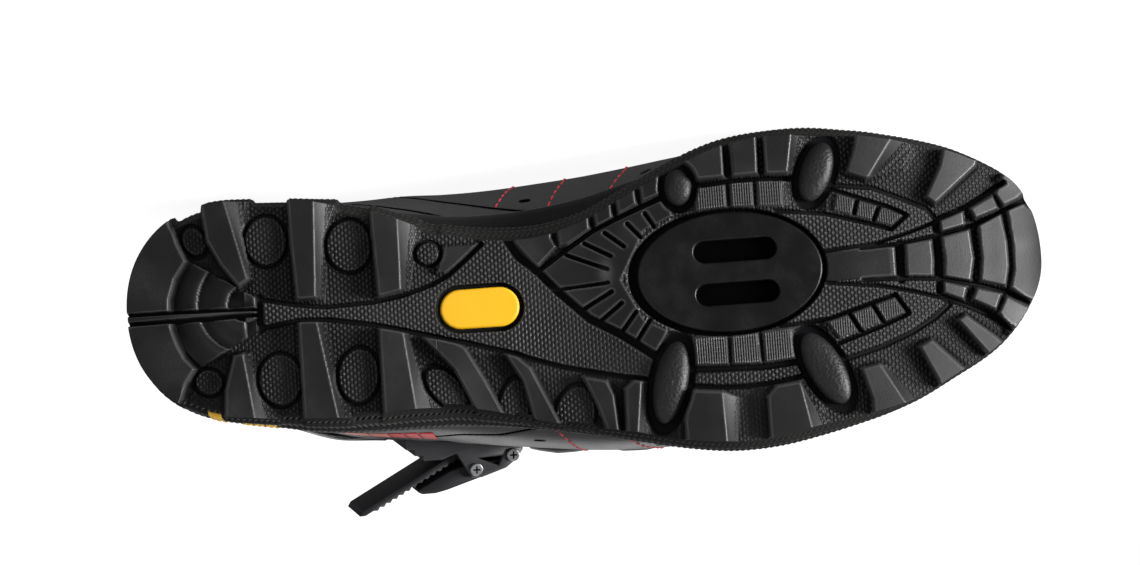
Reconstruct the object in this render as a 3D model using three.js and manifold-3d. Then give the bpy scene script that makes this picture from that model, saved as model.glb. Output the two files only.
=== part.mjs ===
// Cycling shoe for the left foot, lying on its inner side.
// Shoe frame: x runs from heel to toe, y to the outer side, z up from the ground that the tread stands on.
// The finished shoe is turned so that it lies at rest on z = 0.
import * as THREE from 'three';
import { ConvexHull } from 'three/addons/math/ConvexHull.js';
import Module from 'manifold-3d';

// Sizes of the whole shoe, in millimetres
const soleLength = 300;
const ballWidth = 102;
const soleHeight = 30;
const instepHeight = 100;
const heelHeight = 98;
const heelRound = 36;
const toeRound = 60;

// Sizes of the sole
const treadThickness = 4;
const lugHeight = 6;
const lugDraft = 0.9;
const lugRoot = 1.5;
const beadDepth = 1.1;
const seatGap = 0.3;
const windowLength = 61;
const windowWidth = 40;
const plateThickness = 5;
const slotLength = 27;
const slotWidth = 7.2;
const slotSpacing = 14;
const badgeLength = 26;
const badgeWidth = 13;
const badgeHeight = 1.4;
const podHeight = 5;

// Sizes of the upper
const wall = 2;
const featherInset = 1.5;
const heelInset = 2;
const toeInset = 2.5;
const heelLean = 7;
const throatWidth = 34;
const overlayThickness = 1.3;
const tongueThickness = 3.5;
const insoleThickness = 3.5;
const insoleGap = 0.6;
const strapThickness = 2;
const strapWidth = 25;
const strapGap = 0.45;

// Sizes and place of the buckle and its toothed strap
const buckleLength = 41;
const buckleWidth = 27;
const buckleGap = 4.4;
const buckleSide = 0.433 * ballWidth;
const buckleLift = 0.73 * instepHeight;
const buckleLean = 14;
const bucklePitch = 16;
const cheekThickness = 2.2;
const ladderWidth = 18;
const ladderThickness = 2.2;
const ladderTailLength = 35;
const toothPitch = 2.2;
const toothDepth = 0.9;
const screwDiameter = 4.4;

// Reads a table whose rows follow the named columns
function table(names, rows) {
  const columns = names.split(' ');
  return rows.map((row) => Object.fromEntries(columns.map((name, i) => [name, row[i]])));
}

// Half widths at the tread and at the rim are shares of ballWidth before the heel and toe are rounded;
// under and rim are shares of soleHeight above the ground. The rows are evenly spaced from heel to toe.
const soleRows = table('treadMedial treadLateral rimMedial rimLateral under rim', [
  [0.343, 0.353, 0.375, 0.345, 0.33, 1.02],
  [0.343, 0.348, 0.366, 0.340, 0.26, 1.00],
  [0.341, 0.351, 0.356, 0.345, 0.22, 0.98],
  [0.336, 0.363, 0.348, 0.372, 0.20, 0.96],
  [0.324, 0.373, 0.340, 0.402, 0.20, 0.94],
  [0.294, 0.377, 0.329, 0.412, 0.21, 0.93],
  [0.245, 0.365, 0.278, 0.415, 0.25, 0.92],
  [0.192, 0.367, 0.232, 0.417, 0.32, 0.91],
  [0.163, 0.394, 0.212, 0.426, 0.39, 0.89],
  [0.163, 0.433, 0.210, 0.443, 0.43, 0.86],
  [0.204, 0.461, 0.240, 0.470, 0.40, 0.81],
  [0.275, 0.490, 0.309, 0.504, 0.32, 0.75],
  [0.345, 0.524, 0.381, 0.535, 0.25, 0.71],
  [0.402, 0.539, 0.433, 0.554, 0.21, 0.69],
  [0.427, 0.531, 0.453, 0.548, 0.20, 0.69],
  [0.424, 0.500, 0.457, 0.522, 0.22, 0.71],
  [0.414, 0.476, 0.438, 0.482, 0.28, 0.76],
  [0.398, 0.447, 0.421, 0.437, 0.38, 0.84],
  [0.398, 0.405, 0.419, 0.396, 0.52, 0.95],
  [0.415, 0.385, 0.436, 0.376, 0.69, 1.09],
  [0.500, 0.350, 0.510, 0.345, 0.88, 1.26],
]);

// The last above the sole: side bulges as shares of ballWidth, the crown and the height of the bulge as
// shares of instepHeight, how far the ridge lies to the inner side, and how square the section is.
const upperRows = table('medial lateral crown bulge ridge square', [
  [0.310, 0.305, 1.22, 0.50, 0.00, 2.6],
  [0.335, 0.318, 1.22, 0.50, 0.00, 2.6],
  [0.343, 0.329, 1.22, 0.50, 0.00, 2.6],
  [0.342, 0.352, 1.22, 0.50, 0.00, 2.6],
  [0.345, 0.400, 1.22, 0.50, 0.01, 2.6],
  [0.350, 0.428, 1.23, 0.50, 0.02, 2.5],
  [0.358, 0.444, 1.24, 0.49, 0.03, 2.4],
  [0.354, 0.462, 1.21, 0.48, 0.04, 2.3],
  [0.356, 0.484, 1.15, 0.46, 0.05, 2.2],
  [0.364, 0.503, 1.07, 0.43, 0.06, 2.1],
  [0.374, 0.520, 0.98, 0.40, 0.06, 2.0],
  [0.390, 0.528, 0.90, 0.38, 0.06, 2.0],
  [0.408, 0.526, 0.82, 0.36, 0.05, 2.0],
  [0.422, 0.526, 0.755, 0.34, 0.05, 2.0],
  [0.430, 0.520, 0.70, 0.34, 0.05, 2.05],
  [0.428, 0.496, 0.66, 0.34, 0.04, 2.1],
  [0.414, 0.462, 0.63, 0.35, 0.04, 2.2],
  [0.396, 0.415, 0.61, 0.37, 0.03, 2.3],
  [0.392, 0.380, 0.60, 0.40, 0.02, 2.4],
  [0.410, 0.360, 0.60, 0.44, 0.01, 2.4],
  [0.460, 0.335, 0.61, 0.50, 0.00, 2.4],
]);

// A smooth curve through one column of evenly spaced rows
function column(rows, name) {
  const last = rows.length - 1;
  const value = (i) => rows[Math.min(Math.max(i, 0), last)][name];
  return (at) => {
    const place = Math.min(Math.max(at, 0), 1) * last;
    const i = Math.min(Math.floor(place), last - 1);
    const f = place - i;
    const [a, b, c, d] = [value(i - 1), value(i), value(i + 1), value(i + 2)];
    const slope = c - a;
    const bend = 2 * a - 5 * b + 4 * c - d;
    const twist = 3 * b - a - 3 * c + d;
    return b + 0.5 * f * (slope + f * (bend + f * twist));
  };
}
const curves = (rows) => Object.fromEntries(Object.keys(rows[0]).map((name) => [name, column(rows, name)]));
const soleCurve = curves(soleRows);
const upperCurve = curves(upperRows);

// Superellipse rounding of the heel and the toe in plan, with a narrow flat at either end
const endPower = 2.15;
const endFlat = 0.12;
function endRounding(at) {
  const x = at * soleLength;
  const fromHeel = Math.max(0, 1 - x / heelRound);
  const fromToe = Math.max(0, 1 - (soleLength - x) / toeRound);
  const past = Math.min(1, Math.max(fromHeel, fromToe));
  return Math.max(endFlat, (1 - past ** endPower) ** (1 / endPower));
}
const treadEdge = (at, side) => {
  const share = side < 0 ? soleCurve.treadMedial(at) : soleCurve.treadLateral(at);
  return share * ballWidth * endRounding(at);
};
const rimEdge = (at, side) => {
  const share = side < 0 ? soleCurve.rimMedial(at) : soleCurve.rimLateral(at);
  return share * ballWidth * endRounding(at);
};
const underHeight = (at) => soleCurve.under(at) * soleHeight;
const rimHeight = (at) => soleCurve.rim(at) * soleHeight;

// A place on the tread from its share of the length and of the half width, negative to the inner side
function treadPlace(at, side) {
  return new THREE.Vector2(at * soleLength, side * treadEdge(at, side));
}

// Closed solids
const wasm = await Module();
wasm.setup();

function signedVolume(points, faces) {
  let sum = 0;
  for (const [a, b, c] of faces) {
    sum += points[a].dot(new THREE.Vector3().crossVectors(points[b], points[c]));
  }
  return sum / 6;
}

// The faces of an end ring, turned the way the ring runs
function cap(ring, flat) {
  const outline = ring.map(flat);
  const faces = THREE.ShapeUtils.triangulateShape(outline, []);
  const covered = faces.reduce((sum, face) => sum + THREE.ShapeUtils.area(face.map((i) => outline[i])), 0);
  const same = covered * THREE.ShapeUtils.area(outline) > 0;
  return same ? faces : faces.map(([a, b, c]) => [c, b, a]);
}

// The faces of an end ring whose two halves mirror each other, such as a section of the last
function pairedCap(ring) {
  const last = ring.length - 1;
  const half = Math.floor(ring.length / 2);
  return Array.from({ length: half }, (_, k) => k).flatMap((k) => [
    [k, k + 1, last - k],
    ...(k + 1 < last - k - 1 ? [[k + 1, last - k - 1, last - k]] : []),
  ]).filter(([a, b, c]) => a !== b && b !== c && a !== c);
}

// Joins rings of equal length into one closed solid, with a cap over the first and the last
const alongX = (p) => new THREE.Vector2(p.y, p.z);
const alongZ = (p) => new THREE.Vector2(p.x, p.y);
const flatCap = (flat) => (ring) => cap(ring, flat);
function loft(rings, capOf = flatCap(alongX)) {
  const count = rings[0].length;
  const points = rings.flat();
  const faces = [];
  for (let i = 0; i + 1 < rings.length; i += 1) {
    for (let j = 0; j < count; j += 1) {
      const a = i * count + j;
      const b = i * count + (j + 1) % count;
      faces.push([a, b, b + count], [a, b + count, a + count]);
    }
  }
  const start = points.length - count;
  faces.push(...capOf(rings[0]).map(([a, b, c]) => [c, b, a]));
  faces.push(...capOf(rings.at(-1)).map((face) => face.map((i) => i + start)));
  const outward = signedVolume(points, faces) > 0 ? faces : faces.map(([a, b, c]) => [c, b, a]);
  return new wasm.Manifold(new wasm.Mesh({
    numProp: 3,
    vertProperties: new Float32Array(points.flatMap((p) => [p.x, p.y, p.z])),
    triVerts: new Uint32Array(outward.flat()),
  }));
}

// A prism between two heights over an outline in plan
function prism(outline, low, high) {
  return loft([low, high].map((z) => outline.map((p) => new THREE.Vector3(p.x, p.y, z))), flatCap(alongZ));
}

// A slab across the shoe whose outline is drawn in the side view
function sideSlab(outline, from, to) {
  const flat = (p) => new THREE.Vector2(p.x, p.z);
  return loft([from, to].map((y) => outline.map((p) => new THREE.Vector3(p.x, y, p.y))), flatCap(flat));
}

function ellipse(centre, alongRadius, acrossRadius, turn = 0, steps = 16) {
  return Array.from({ length: steps }, (_, i) => {
    const angle = 2 * Math.PI * i / steps;
    const point = new THREE.Vector2(alongRadius * Math.cos(angle), acrossRadius * Math.sin(angle));
    return point.rotateAround(new THREE.Vector2(), turn).add(centre);
  });
}

function stadium(centre, length, width, steps = 8) {
  const reach = (length - width) / 2;
  return Array.from({ length: 2 * steps }, (_, i) => {
    const angle = Math.PI * (Math.floor(i / steps) + (i % steps) / (steps - 1)) - Math.PI / 2;
    const end = i < steps ? reach : -reach;
    return new THREE.Vector2(end + width / 2 * Math.cos(angle), width / 2 * Math.sin(angle)).add(centre);
  });
}

const union = (solids) => solids.reduce((whole, piece) => whole.add(piece));

// Sole

const soleStations = [0, 0.008, 0.02, 0.035, 0.055, 0.08, 0.11];
for (let at = 0.15; at < 0.86; at += 0.05) soleStations.push(at);
soleStations.push(0.88, 0.91, 0.935, 0.955, 0.972, 0.985, 0.994, 1);
const treadColumns = [-1, -0.6, -0.2, 0.2, 0.6, 1];
const station = (at, y, z) => new THREE.Vector3(at * soleLength, y, z);

// The side wall leans out from the tread edge to the rim
function wallEdge(at, side, height) {
  return side * THREE.MathUtils.lerp(treadEdge(at, side), rimEdge(at, side), height);
}

function treadBase(thickness) {
  return loft(soleStations.map((at) => {
    const under = underHeight(at);
    const share = thickness / (rimHeight(at) - under);
    const bottom = treadColumns.map((side) => station(at, side * treadEdge(at, side), under));
    const top = [1, 0.35, -0.35, -1].map((side) => {
      return station(at, Math.abs(side) * wallEdge(at, Math.sign(side), share), under + thickness);
    });
    return [...bottom, ...top];
  }));
}

// Steps and lengthwise beads of the side wall: share of its height, and how far each stands out
const wallSteps = table('height proud', [
  [0.00, 0], [0.16, 0], [0.20, 1], [0.34, 1], [0.38, 0.1], [0.56, 0.1], [0.60, 1], [0.76, 1], [0.82, 0], [1.00, 0],
]);

function midsoleBody() {
  return loft(soleStations.map((at) => {
    const low = underHeight(at) + treadThickness + seatGap;
    const high = rimHeight(at);
    const from = (low - underHeight(at)) / (high - underHeight(at));
    const wallSide = (side) => wallSteps.map(({ height, proud }) => {
      const share = THREE.MathUtils.lerp(from, 1, height);
      const out = side * proud * beadDepth * Math.min(1, endRounding(at) * 1.5);
      return station(at, wallEdge(at, side, share) + out, THREE.MathUtils.lerp(low, high, height));
    });
    return [...wallSide(-1), ...wallSide(1).reverse()];
  }));
}

// A raised block of the tread over corners given as shares, with sloping sides; long edges follow the tread
const longestEdge = 14;
function block(corners, height, root = lugRoot, draft = lugDraft) {
  const spread = corners.flatMap((corner, i) => {
    const next = corners[(i + 1) % corners.length];
    const reach = treadPlace(...corner).distanceTo(treadPlace(...next));
    const parts = Math.ceil(reach / longestEdge);
    const between = (share) => corner.map((v, n) => THREE.MathUtils.lerp(v, next[n], share));
    return Array.from({ length: parts }, (_, k) => between(k / parts));
  });
  const places = spread.map(([at, side]) => ({ at, plan: treadPlace(at, side) }));
  const middle = places.reduce((sum, p) => sum.add(p.plan), new THREE.Vector2()).divideScalar(places.length);
  const ring = (grow, drop) => places.map(({ at, plan }) => {
    const out = plan.clone().sub(middle).setLength(grow).add(plan);
    return new THREE.Vector3(out.x, out.y, underHeight(at) - drop);
  });
  return loft([ring(draft, -root), ring(0, height)], flatCap(alongZ));
}

// Bars across the tread: the stations of their inner and outer ends, how far out these lie as shares of the
// half width (negative to the inner side), and their height as a share of lugHeight
const barColumns = 'rearIn frontIn rearOut frontOut inner outer height';
const heelBars = table(barColumns, [
  [0.120, 0.133, 0.087, 0.118, -0.20, -0.99, 1],
  [0.184, 0.207, 0.182, 0.211, -0.04, -0.99, 1],
  [0.270, 0.302, 0.272, 0.306, -0.05, -0.96, 1],
  [0.340, 0.355, 0.349, 0.388, -0.36, -0.86, 0.4],
  [0.112, 0.124, 0.099, 0.136, 0.45, 0.99, 1],
  [0.187, 0.209, 0.190, 0.220, 0.20, 0.99, 1],
  [0.272, 0.299, 0.278, 0.312, 0.30, 0.98, 1],
  [0.328, 0.364, 0.372, 0.402, 0.43, 0.99, 0.8],
  [0.408, 0.436, 0.433, 0.458, 0.57, 0.99, 0.8],
  [0.487, 0.504, 0.502, 0.522, 0.60, 0.99, 0.8],
  [0.533, 0.554, 0.535, 0.553, 0.66, 0.98, 0.9],
]);
const forefootBars = table(barColumns, [
  [0.447, 0.470, 0.425, 0.466, -0.38, -0.95, 0.5],
  [0.475, 0.510, 0.472, 0.508, -0.62, -0.99, 0.7],
  [0.517, 0.536, 0.513, 0.532, -0.73, -0.99, 0.7],
  [0.542, 0.561, 0.539, 0.558, -0.77, -0.99, 0.7],
  [0.567, 0.588, 0.564, 0.590, -0.79, -0.99, 0.7],
  [0.628, 0.662, 0.628, 0.662, -0.50, -0.70, 0.6],
  [0.666, 0.691, 0.666, 0.692, -0.50, -0.70, 0.6],
  [0.696, 0.725, 0.696, 0.728, -0.50, -0.70, 0.6],
  [0.635, 0.659, 0.633, 0.658, -0.74, -0.99, 1],
  [0.668, 0.697, 0.668, 0.694, -0.73, -0.99, 1],
  [0.703, 0.730, 0.711, 0.742, -0.73, -0.99, 1],
  [0.613, 0.650, 0.616, 0.650, 0.37, 0.55, 0.6],
  [0.654, 0.684, 0.654, 0.685, 0.37, 0.56, 0.6],
  [0.689, 0.721, 0.689, 0.725, 0.37, 0.55, 0.6],
  [0.603, 0.642, 0.605, 0.641, 0.68, 0.98, 1],
  [0.690, 0.726, 0.689, 0.735, 0.68, 0.98, 1],
  [0.794, 0.818, 0.805, 0.837, -0.64, -0.98, 1],
  [0.882, 0.891, 0.906, 0.932, -0.52, -0.97, 1],
  [0.794, 0.816, 0.806, 0.836, 0.63, 0.96, 1],
  [0.860, 0.876, 0.880, 0.902, 0.66, 0.97, 1],
  [0.902, 0.914, 0.928, 0.942, 0.50, 0.97, 1],
  [0.780, 0.805, 0.777, 0.799, -0.54, -0.41, 0.5],
  [0.810, 0.825, 0.802, 0.819, -0.47, -0.36, 0.5],
  [0.829, 0.848, 0.822, 0.842, -0.42, -0.29, 0.5],
  [0.764, 0.783, 0.779, 0.797, 0.32, 0.49, 0.5],
  [0.787, 0.809, 0.800, 0.820, 0.30, 0.43, 0.5],
  [0.813, 0.835, 0.823, 0.847, 0.24, 0.37, 0.5],
  [0.852, 0.880, 0.852, 0.880, -0.11, 0.16, 0.6],
  [0.893, 0.920, 0.893, 0.921, -0.15, 0.20, 0.7],
  [0.892, 0.920, 0.892, 0.921, -0.19, -0.34, 0.7],
  [0.892, 0.920, 0.889, 0.917, 0.25, 0.40, 0.7],
  [0.934, 0.960, 0.935, 0.962, -0.25, 0.32, 0.7],
  [0.930, 0.957, 0.929, 0.953, -0.33, -0.64, 0.7],
  [0.928, 0.958, 0.925, 0.950, 0.38, 0.60, 0.7],
  [0.972, 0.992, 0.972, 0.988, -0.46, 0.50, 0.7],
  [0.965, 0.985, 0.957, 0.972, -0.56, -0.94, 0.7],
  [0.963, 0.984, 0.955, 0.970, 0.60, 0.94, 0.7],
]);

function bar({ rearIn, frontIn, rearOut, frontOut, inner, outer, height }) {
  const corners = [[rearIn, inner], [frontIn, inner], [frontOut, outer], [rearOut, outer]];
  return block(corners, height * lugHeight);
}

// The fan behind the cleat plate: rays run between an outer and an inner end, and each block starts a share
// of its own width after the ray behind it
const fanRays = table('outerAt outerSide innerAt innerSide', [
  [0.590, -0.74, 0.600, -0.53],
  [0.571, -0.70, 0.581, -0.51],
  [0.550, -0.66, 0.563, -0.49],
  [0.527, -0.61, 0.546, -0.45],
  [0.502, -0.56, 0.530, -0.38],
  [0.480, -0.46, 0.520, -0.22],
  [0.452, -0.36, 0.522, -0.10],
  [0.471, 0.04, 0.525, 0.00],
  [0.493, 0.19, 0.530, 0.06],
  [0.516, 0.27, 0.540, 0.13],
  [0.534, 0.35, 0.553, 0.20],
  [0.554, 0.42, 0.570, 0.26],
  [0.571, 0.50, 0.588, 0.31],
]);
const fanHeight = 2.6;
const fanGroove = 0.14;
function fanBlocks() {
  return fanRays.slice(1).map((ray, i) => {
    const start = (name) => THREE.MathUtils.lerp(fanRays[i][name], ray[name], fanGroove);
    return block([
      [start('outerAt'), start('outerSide')],
      [start('innerAt'), start('innerSide')],
      [ray.innerAt, ray.innerSide],
      [ray.outerAt, ray.outerSide],
    ], fanHeight, lugRoot, 0.2);
  });
}

// Heel crescent and the three stepped arcs in front of it: where each starts on the middle line, its radius
// and how far it reaches; all end at the two lines that run together towards the waist
const crescentInner = 0.047;
const crescentRadius = 23;
const crescentCorner = 0.052;
function crescent() {
  const steps = 10;
  const rearShare = 0.995;
  const outer = Array.from({ length: 2 * steps + 1 }, (_, i) => {
    const turn = (i / steps - 1);
    const at = crescentCorner * (1 - Math.cos(turn * Math.PI / 2));
    return [at, Math.sign(turn || 1) * rearShare];
  });
  const sweep = Math.PI / 4;
  const centre = crescentInner * soleLength + crescentRadius;
  const inner = Array.from({ length: 9 }, (_, i) => {
    const angle = sweep * (1 - i / 4);
    const x = centre - crescentRadius * Math.cos(angle);
    const y = crescentRadius * Math.sin(angle);
    const at = x / soleLength;
    return [at, y / treadEdge(at, y)];
  });
  return block([...outer, ...inner], lugHeight);
}
const heelSteps = table('start radius reach height', [
  [0.062, 19, 11, 0.55],
  [0.096, 15, 10, 0.50],
]);
function heelStep({ start, radius, reach, height }) {
  const sweep = 0.7;
  const arc = (ring, turn) => Array.from({ length: 5 }, (_, i) => {
    const angle = turn * sweep * (1 - i / 2);
    const at = start + (radius - ring * Math.cos(angle)) / soleLength;
    return [at, ring * Math.sin(angle) / treadEdge(at, angle)];
  });
  return block([...arc(radius, 1), ...arc(radius - reach / 2, -1)], height * lugHeight, lugRoot, 0.3);
}

// Oval pods: place as shares, half length and half width, and the turn of the long side from across the shoe
const pods = table('name at side long short turn', [
  ['pod_inner_rear', 0.606, -0.81, 5.9, 4.5, 0],
  ['pod_inner_front', 0.757, -0.72, 9.9, 5.1, 22],
  ['pod_outer_rear', 0.584, 0.65, 13.6, 5.5, 15],
  ['pod_outer_front', 0.752, 0.65, 12.9, 5.8, -26],
]);
const podOutline = ({ at, side, long, short, turn }, grow) => {
  return ellipse(treadPlace(at, side), short + grow, long + grow, THREE.MathUtils.degToRad(turn));
};
const podGroove = 1.5;

// Each ring of a pod as a share of its outline, and how far it has risen as a share of the whole height
const podRings = [[1, 0], [1, 0.6], [0.86, 0.84], [0.55, 0.97]];
function pod(row, base) {
  const rim = podOutline(row, 0);
  const centre = treadPlace(row.at, row.side);
  const low = underHeight(row.at) + lugRoot;
  const dome = loft(podRings.map(([share, rise]) => rim.map((p) => {
    const plan = p.clone().lerp(centre, 1 - share);
    return new THREE.Vector3(plan.x, plan.y, low - rise * (lugRoot + podHeight));
  })), flatCap(alongZ));
  return dome.subtract(base.translate([0, 0, -seatGap]));
}

// Cleat plate: flat, tilted as the forefoot rises, in an oval window through the tread
const plateAt = 0.656;
const plateTilt = 2.4;
const plateProud = 0.6;
const slotShift = 2.1;
const plateCentre = new THREE.Vector2(plateAt * soleLength, -0.5);
const tilted = (piece) => {
  const lift = underHeight(plateAt) - plateProud;
  return piece.translate([-plateCentre.x, -plateCentre.y, 0]).rotate([0, plateTilt, 0])
    .translate([plateCentre.x, plateCentre.y, lift]);
};
const plateOutline = (grow) => ellipse(plateCentre, windowLength / 2 + grow, windowWidth / 2 + grow, 0, 32);

function cleatPlate() {
  const slots = [-1, 1].map((side) => {
    const centre = plateCentre.clone().add(new THREE.Vector2(slotShift, side * slotSpacing / 2));
    return prism(stadium(centre, slotLength, slotWidth), -1, plateThickness + 1);
  });
  return tilted(prism(plateOutline(-seatGap), 0, plateThickness).subtract(union(slots)));
}

// Plain rounded badge in the waist
const badgeAt = 0.382;
const badgeSide = 5.3;
const badgeCentre = new THREE.Vector2(badgeAt * soleLength, badgeSide);
const badgeOutline = (grow) => stadium(badgeCentre, badgeLength + 2 * grow, badgeWidth + 2 * grow, 10);
const badgeDepth = 1;

const treadSlab = treadBase(treadThickness);
const belowGround = -30;
const windowCut = tilted(prism(plateOutline(0), -20, plateThickness + seatGap));
const badgeLow = underHeight(badgeAt) - badgeHeight;
const badgeCut = prism(badgeOutline(seatGap), belowGround, underHeight(badgeAt) + badgeDepth + seatGap);

function outsole() {
  const lugs = [...heelBars, ...forefootBars].map(bar);
  const low = [...fanBlocks(), crescent(), ...heelSteps.map(heelStep)];
  const podCuts = union(pods.map((row) => prism(podOutline(row, podGroove), belowGround, soleHeight)));
  const relief = union([...lugs, ...low]).subtract(podCuts);
  return treadSlab.add(relief).subtract(windowCut).subtract(badgeCut);
}

// Upper

const turns = 24;
const upperSpan = soleLength - heelInset - toeInset;

// The toe's crown falls in a rounded nose
const noseLength = 46;
function noseDrop(at) {
  const past = Math.max(0, 1 - (1 - at) * soleLength / noseLength);
  return Math.max(0.35, (1 - past ** 2.4) ** (1 / 2.4));
}

// A point of the last: at runs from heel to toe, turn from the inner feather line over the crown to the
// outer one, and inset goes in from the outside of the upper
function lastPoint(at, turn, inset) {
  const side = turn < 0.5 ? -1 : 1;
  const apart = Math.abs(2 * turn - 1);
  const foot = rimHeight(at) + seatGap;
  const round = endRounding(at);
  const width = side < 0 ? upperCurve.medial(at) : upperCurve.lateral(at);
  const bulge = Math.max(1.2, width * ballWidth * round - inset);
  const feather = Math.max(1, rimEdge(at, side) - featherInset - inset);
  const crown = foot + (upperCurve.crown(at) * instepHeight - foot) * noseDrop(at) - inset;
  const bulgeShare = (upperCurve.bulge(at) * instepHeight - foot) / (crown - foot);
  const middle = foot + (crown - foot) * Math.min(0.55, bulgeShare);
  const power = 2 / upperCurve.square(at);
  let y = 0;
  let z = 0;
  if (apart > 0.5) {
    const lean = (1 - apart) * Math.PI;
    y = THREE.MathUtils.lerp(feather, bulge, Math.sin(lean));
    z = THREE.MathUtils.lerp(foot, middle, 1 - Math.cos(lean));
  } else {
    const rise = (0.5 - apart) * Math.PI;
    y = bulge * Math.max(0, Math.cos(rise)) ** power;
    z = THREE.MathUtils.lerp(middle, crown, Math.sin(rise) ** power);
  }
  const ridge = upperCurve.ridge(at) * ballWidth * Math.max(0, (z - middle) / (crown - middle)) ** 2;
  const lean = heelLean * Math.max(0, 1 - at / 0.3) * Math.max(0, (z - foot) / (heelHeight - foot)) ** 2;
  return new THREE.Vector3(heelInset + inset + at * (upperSpan - 2 * inset) + lean, side * y - ridge, z);
}

const upperStations = [0, 0.008, 0.02, 0.04, 0.065, 0.1];
for (let at = 0.15; at < 0.86; at += 0.05) upperStations.push(at);
upperStations.push(0.89, 0.925, 0.95, 0.97, 0.985, 0.995, 1);

// The whole last closed over the top, grown or shrunk by inset, with its underside lowered by drop
function lastBody(inset, drop, stations = upperStations) {
  return loft(stations.map((at) => {
    const ring = Array.from({ length: turns + 1 }, (_, i) => lastPoint(at, i / turns, inset));
    if (drop === 0) return ring;
    const low = (p) => new THREE.Vector3(p.x, p.y, rimHeight(at) + seatGap - drop);
    return [low(ring[0]), ...ring, low(ring.at(-1))];
  }), pairedCap);
}

// The collar in the side view: shares of the length and of heelHeight
const collarRows = table('at height', [
  [0.00, 1.00], [0.03, 1.00], [0.07, 0.985], [0.12, 0.93], [0.18, 0.87], [0.24, 0.85], [0.30, 0.88],
  [0.35, 0.97], [0.385, 1.10], [0.40, 1.30],
]);
const wellAbove = 3 * instepHeight;
const wellBehind = -0.2 * soleLength;
function collarCut() {
  const line = collarRows.map(({ at, height }) => new THREE.Vector2(at * soleLength, height * heelHeight));
  const outline = [
    new THREE.Vector2(wellBehind, heelHeight), ...line,
    new THREE.Vector2(line.at(-1).x, wellAbove), new THREE.Vector2(wellBehind, wellAbove),
  ];
  return sideSlab(outline, -ballWidth, ballWidth);
}

// The throat in plan: it narrows to a rounded front end
const throatStart = 0.36;
const throatEnd = 0.66;
const throatLow = 20;
function throatCut() {
  const place = (at, half) => new THREE.Vector2(at * soleLength, half - upperCurve.ridge(at) * ballWidth);
  const half = throatWidth / 2;
  const side = [[throatStart, 1.1], [0.45, 1], [0.55, 0.85], [0.625, 0.68], [0.648, 0.45], [throatEnd, 0.15]];
  const outline = [
    ...side.map(([at, share]) => place(at, -share * half)),
    ...side.toReversed().map(([at, share]) => place(at, share * half)),
  ];
  return prism(outline, rimHeight(0.5) + throatLow, wellAbove);
}

const lastOutside = lastBody(0, 0);
const lastInside = lastBody(wall, 8);
function upper() {
  return lastOutside.subtract(lastInside).subtract(collarCut()).subtract(throatCut());
}

// An overlay lies just outside the upper, inside an outline drawn in the side view
function overlay(outline, from, to) {
  const shares = outline.map(([at, height]) => new THREE.Vector2(at * soleLength, height * heelHeight));
  const stations = upperStations.filter((at) => at >= from && at <= to);
  const skin = lastBody(-seatGap - overlayThickness, 0, stations).subtract(lastBody(-seatGap, 8, stations));
  return skin.intersect(sideSlab(shares, -ballWidth, ballWidth));
}
const counterOutline = [
  [-0.1, 0.365], [0.33, 0.355], [0.32, 0.40], [0.25, 0.52], [0.15, 0.68], [0.05, 0.84], [-0.1, 0.88],
];
const toeCapOutline = [
  [0.885, 0.355], [0.88, 0.45], [0.90, 0.54], [0.94, 0.61], [1.1, 0.62], [1.1, 0.50], [0.97, 0.435],
];

// A band over the last between two insets; its rows give where its middle runs and how wide it is
const bandColumns = 4;
function band(path, width, near, far) {
  return loft(path.map(({ at, step, wide }) => {
    const edge = (inset, order) => order.map((i) => {
      const shift = (i / bandColumns - 0.5) * width * wide / soleLength;
      return lastPoint(at + shift, step / turns, inset);
    });
    const order = Array.from({ length: bandColumns + 1 }, (_, i) => i);
    return [...edge(near, order), ...edge(far, order.toReversed())];
  }), flatCap((p) => new THREE.Vector2(p.x, p.z + Math.abs(p.y))));
}

function insole() {
  const slab = loft(upperStations.map((at) => {
    const low = rimHeight(at) + seatGap;
    const reach = ballWidth;
    return [[-reach, low], [reach, low], [reach, low + insoleThickness], [-reach, low + insoleThickness]]
      .map(([y, z]) => station(at, y, z));
  }));
  return lastBody(wall + insoleGap, 1).intersect(slab);
}

// The tongue lies under the throat and stands above the collar
const tongueStations = [0.325, 0.35, 0.40, 0.45, 0.50, 0.55, 0.60, 0.65, 0.70];
const tongueGap = 0.6;
function tongue() {
  const steps = [9, 10, 11, 12, 13, 14, 15];
  return loft(tongueStations.map((at) => {
    const edge = (inset, order) => order.map((k) => lastPoint(at, k / turns, inset));
    const top = wall + tongueGap;
    return [...edge(top, steps), ...edge(top + tongueThickness, steps.toReversed())];
  }));
}

// Two plain hook-and-loop straps over the front of the throat
const strapPath = table('at step wide', [
  [0.015, 9, 1.00], [0.010, 10, 1.00], [0.005, 11, 1.00], [0.000, 12, 1.00], [-0.005, 13, 1.00],
  [-0.010, 14, 1.00], [-0.014, 15, 1.00], [-0.017, 16, 0.96], [-0.020, 17, 0.80],
]);
function strap(middle) {
  const path = strapPath.map((row) => ({ ...row, at: row.at + middle }));
  return band(path, strapWidth, -strapGap, -strapGap - strapThickness);
}
const frontStrapAt = 0.657;
const middleStrapAt = 0.563;

// The instep strap runs over the ridge to the buckle
const instepPath = table('at step wide', [
  [0.474, 9, 1.00], [0.470, 10, 1.03], [0.466, 11, 1.05], [0.462, 12, 1.05], [0.460, 13, 1.03],
  [0.458, 14, 1.00], [0.457, 15, 0.96], [0.456, 16, 0.90], [0.456, 17, 0.76],
]);

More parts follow.
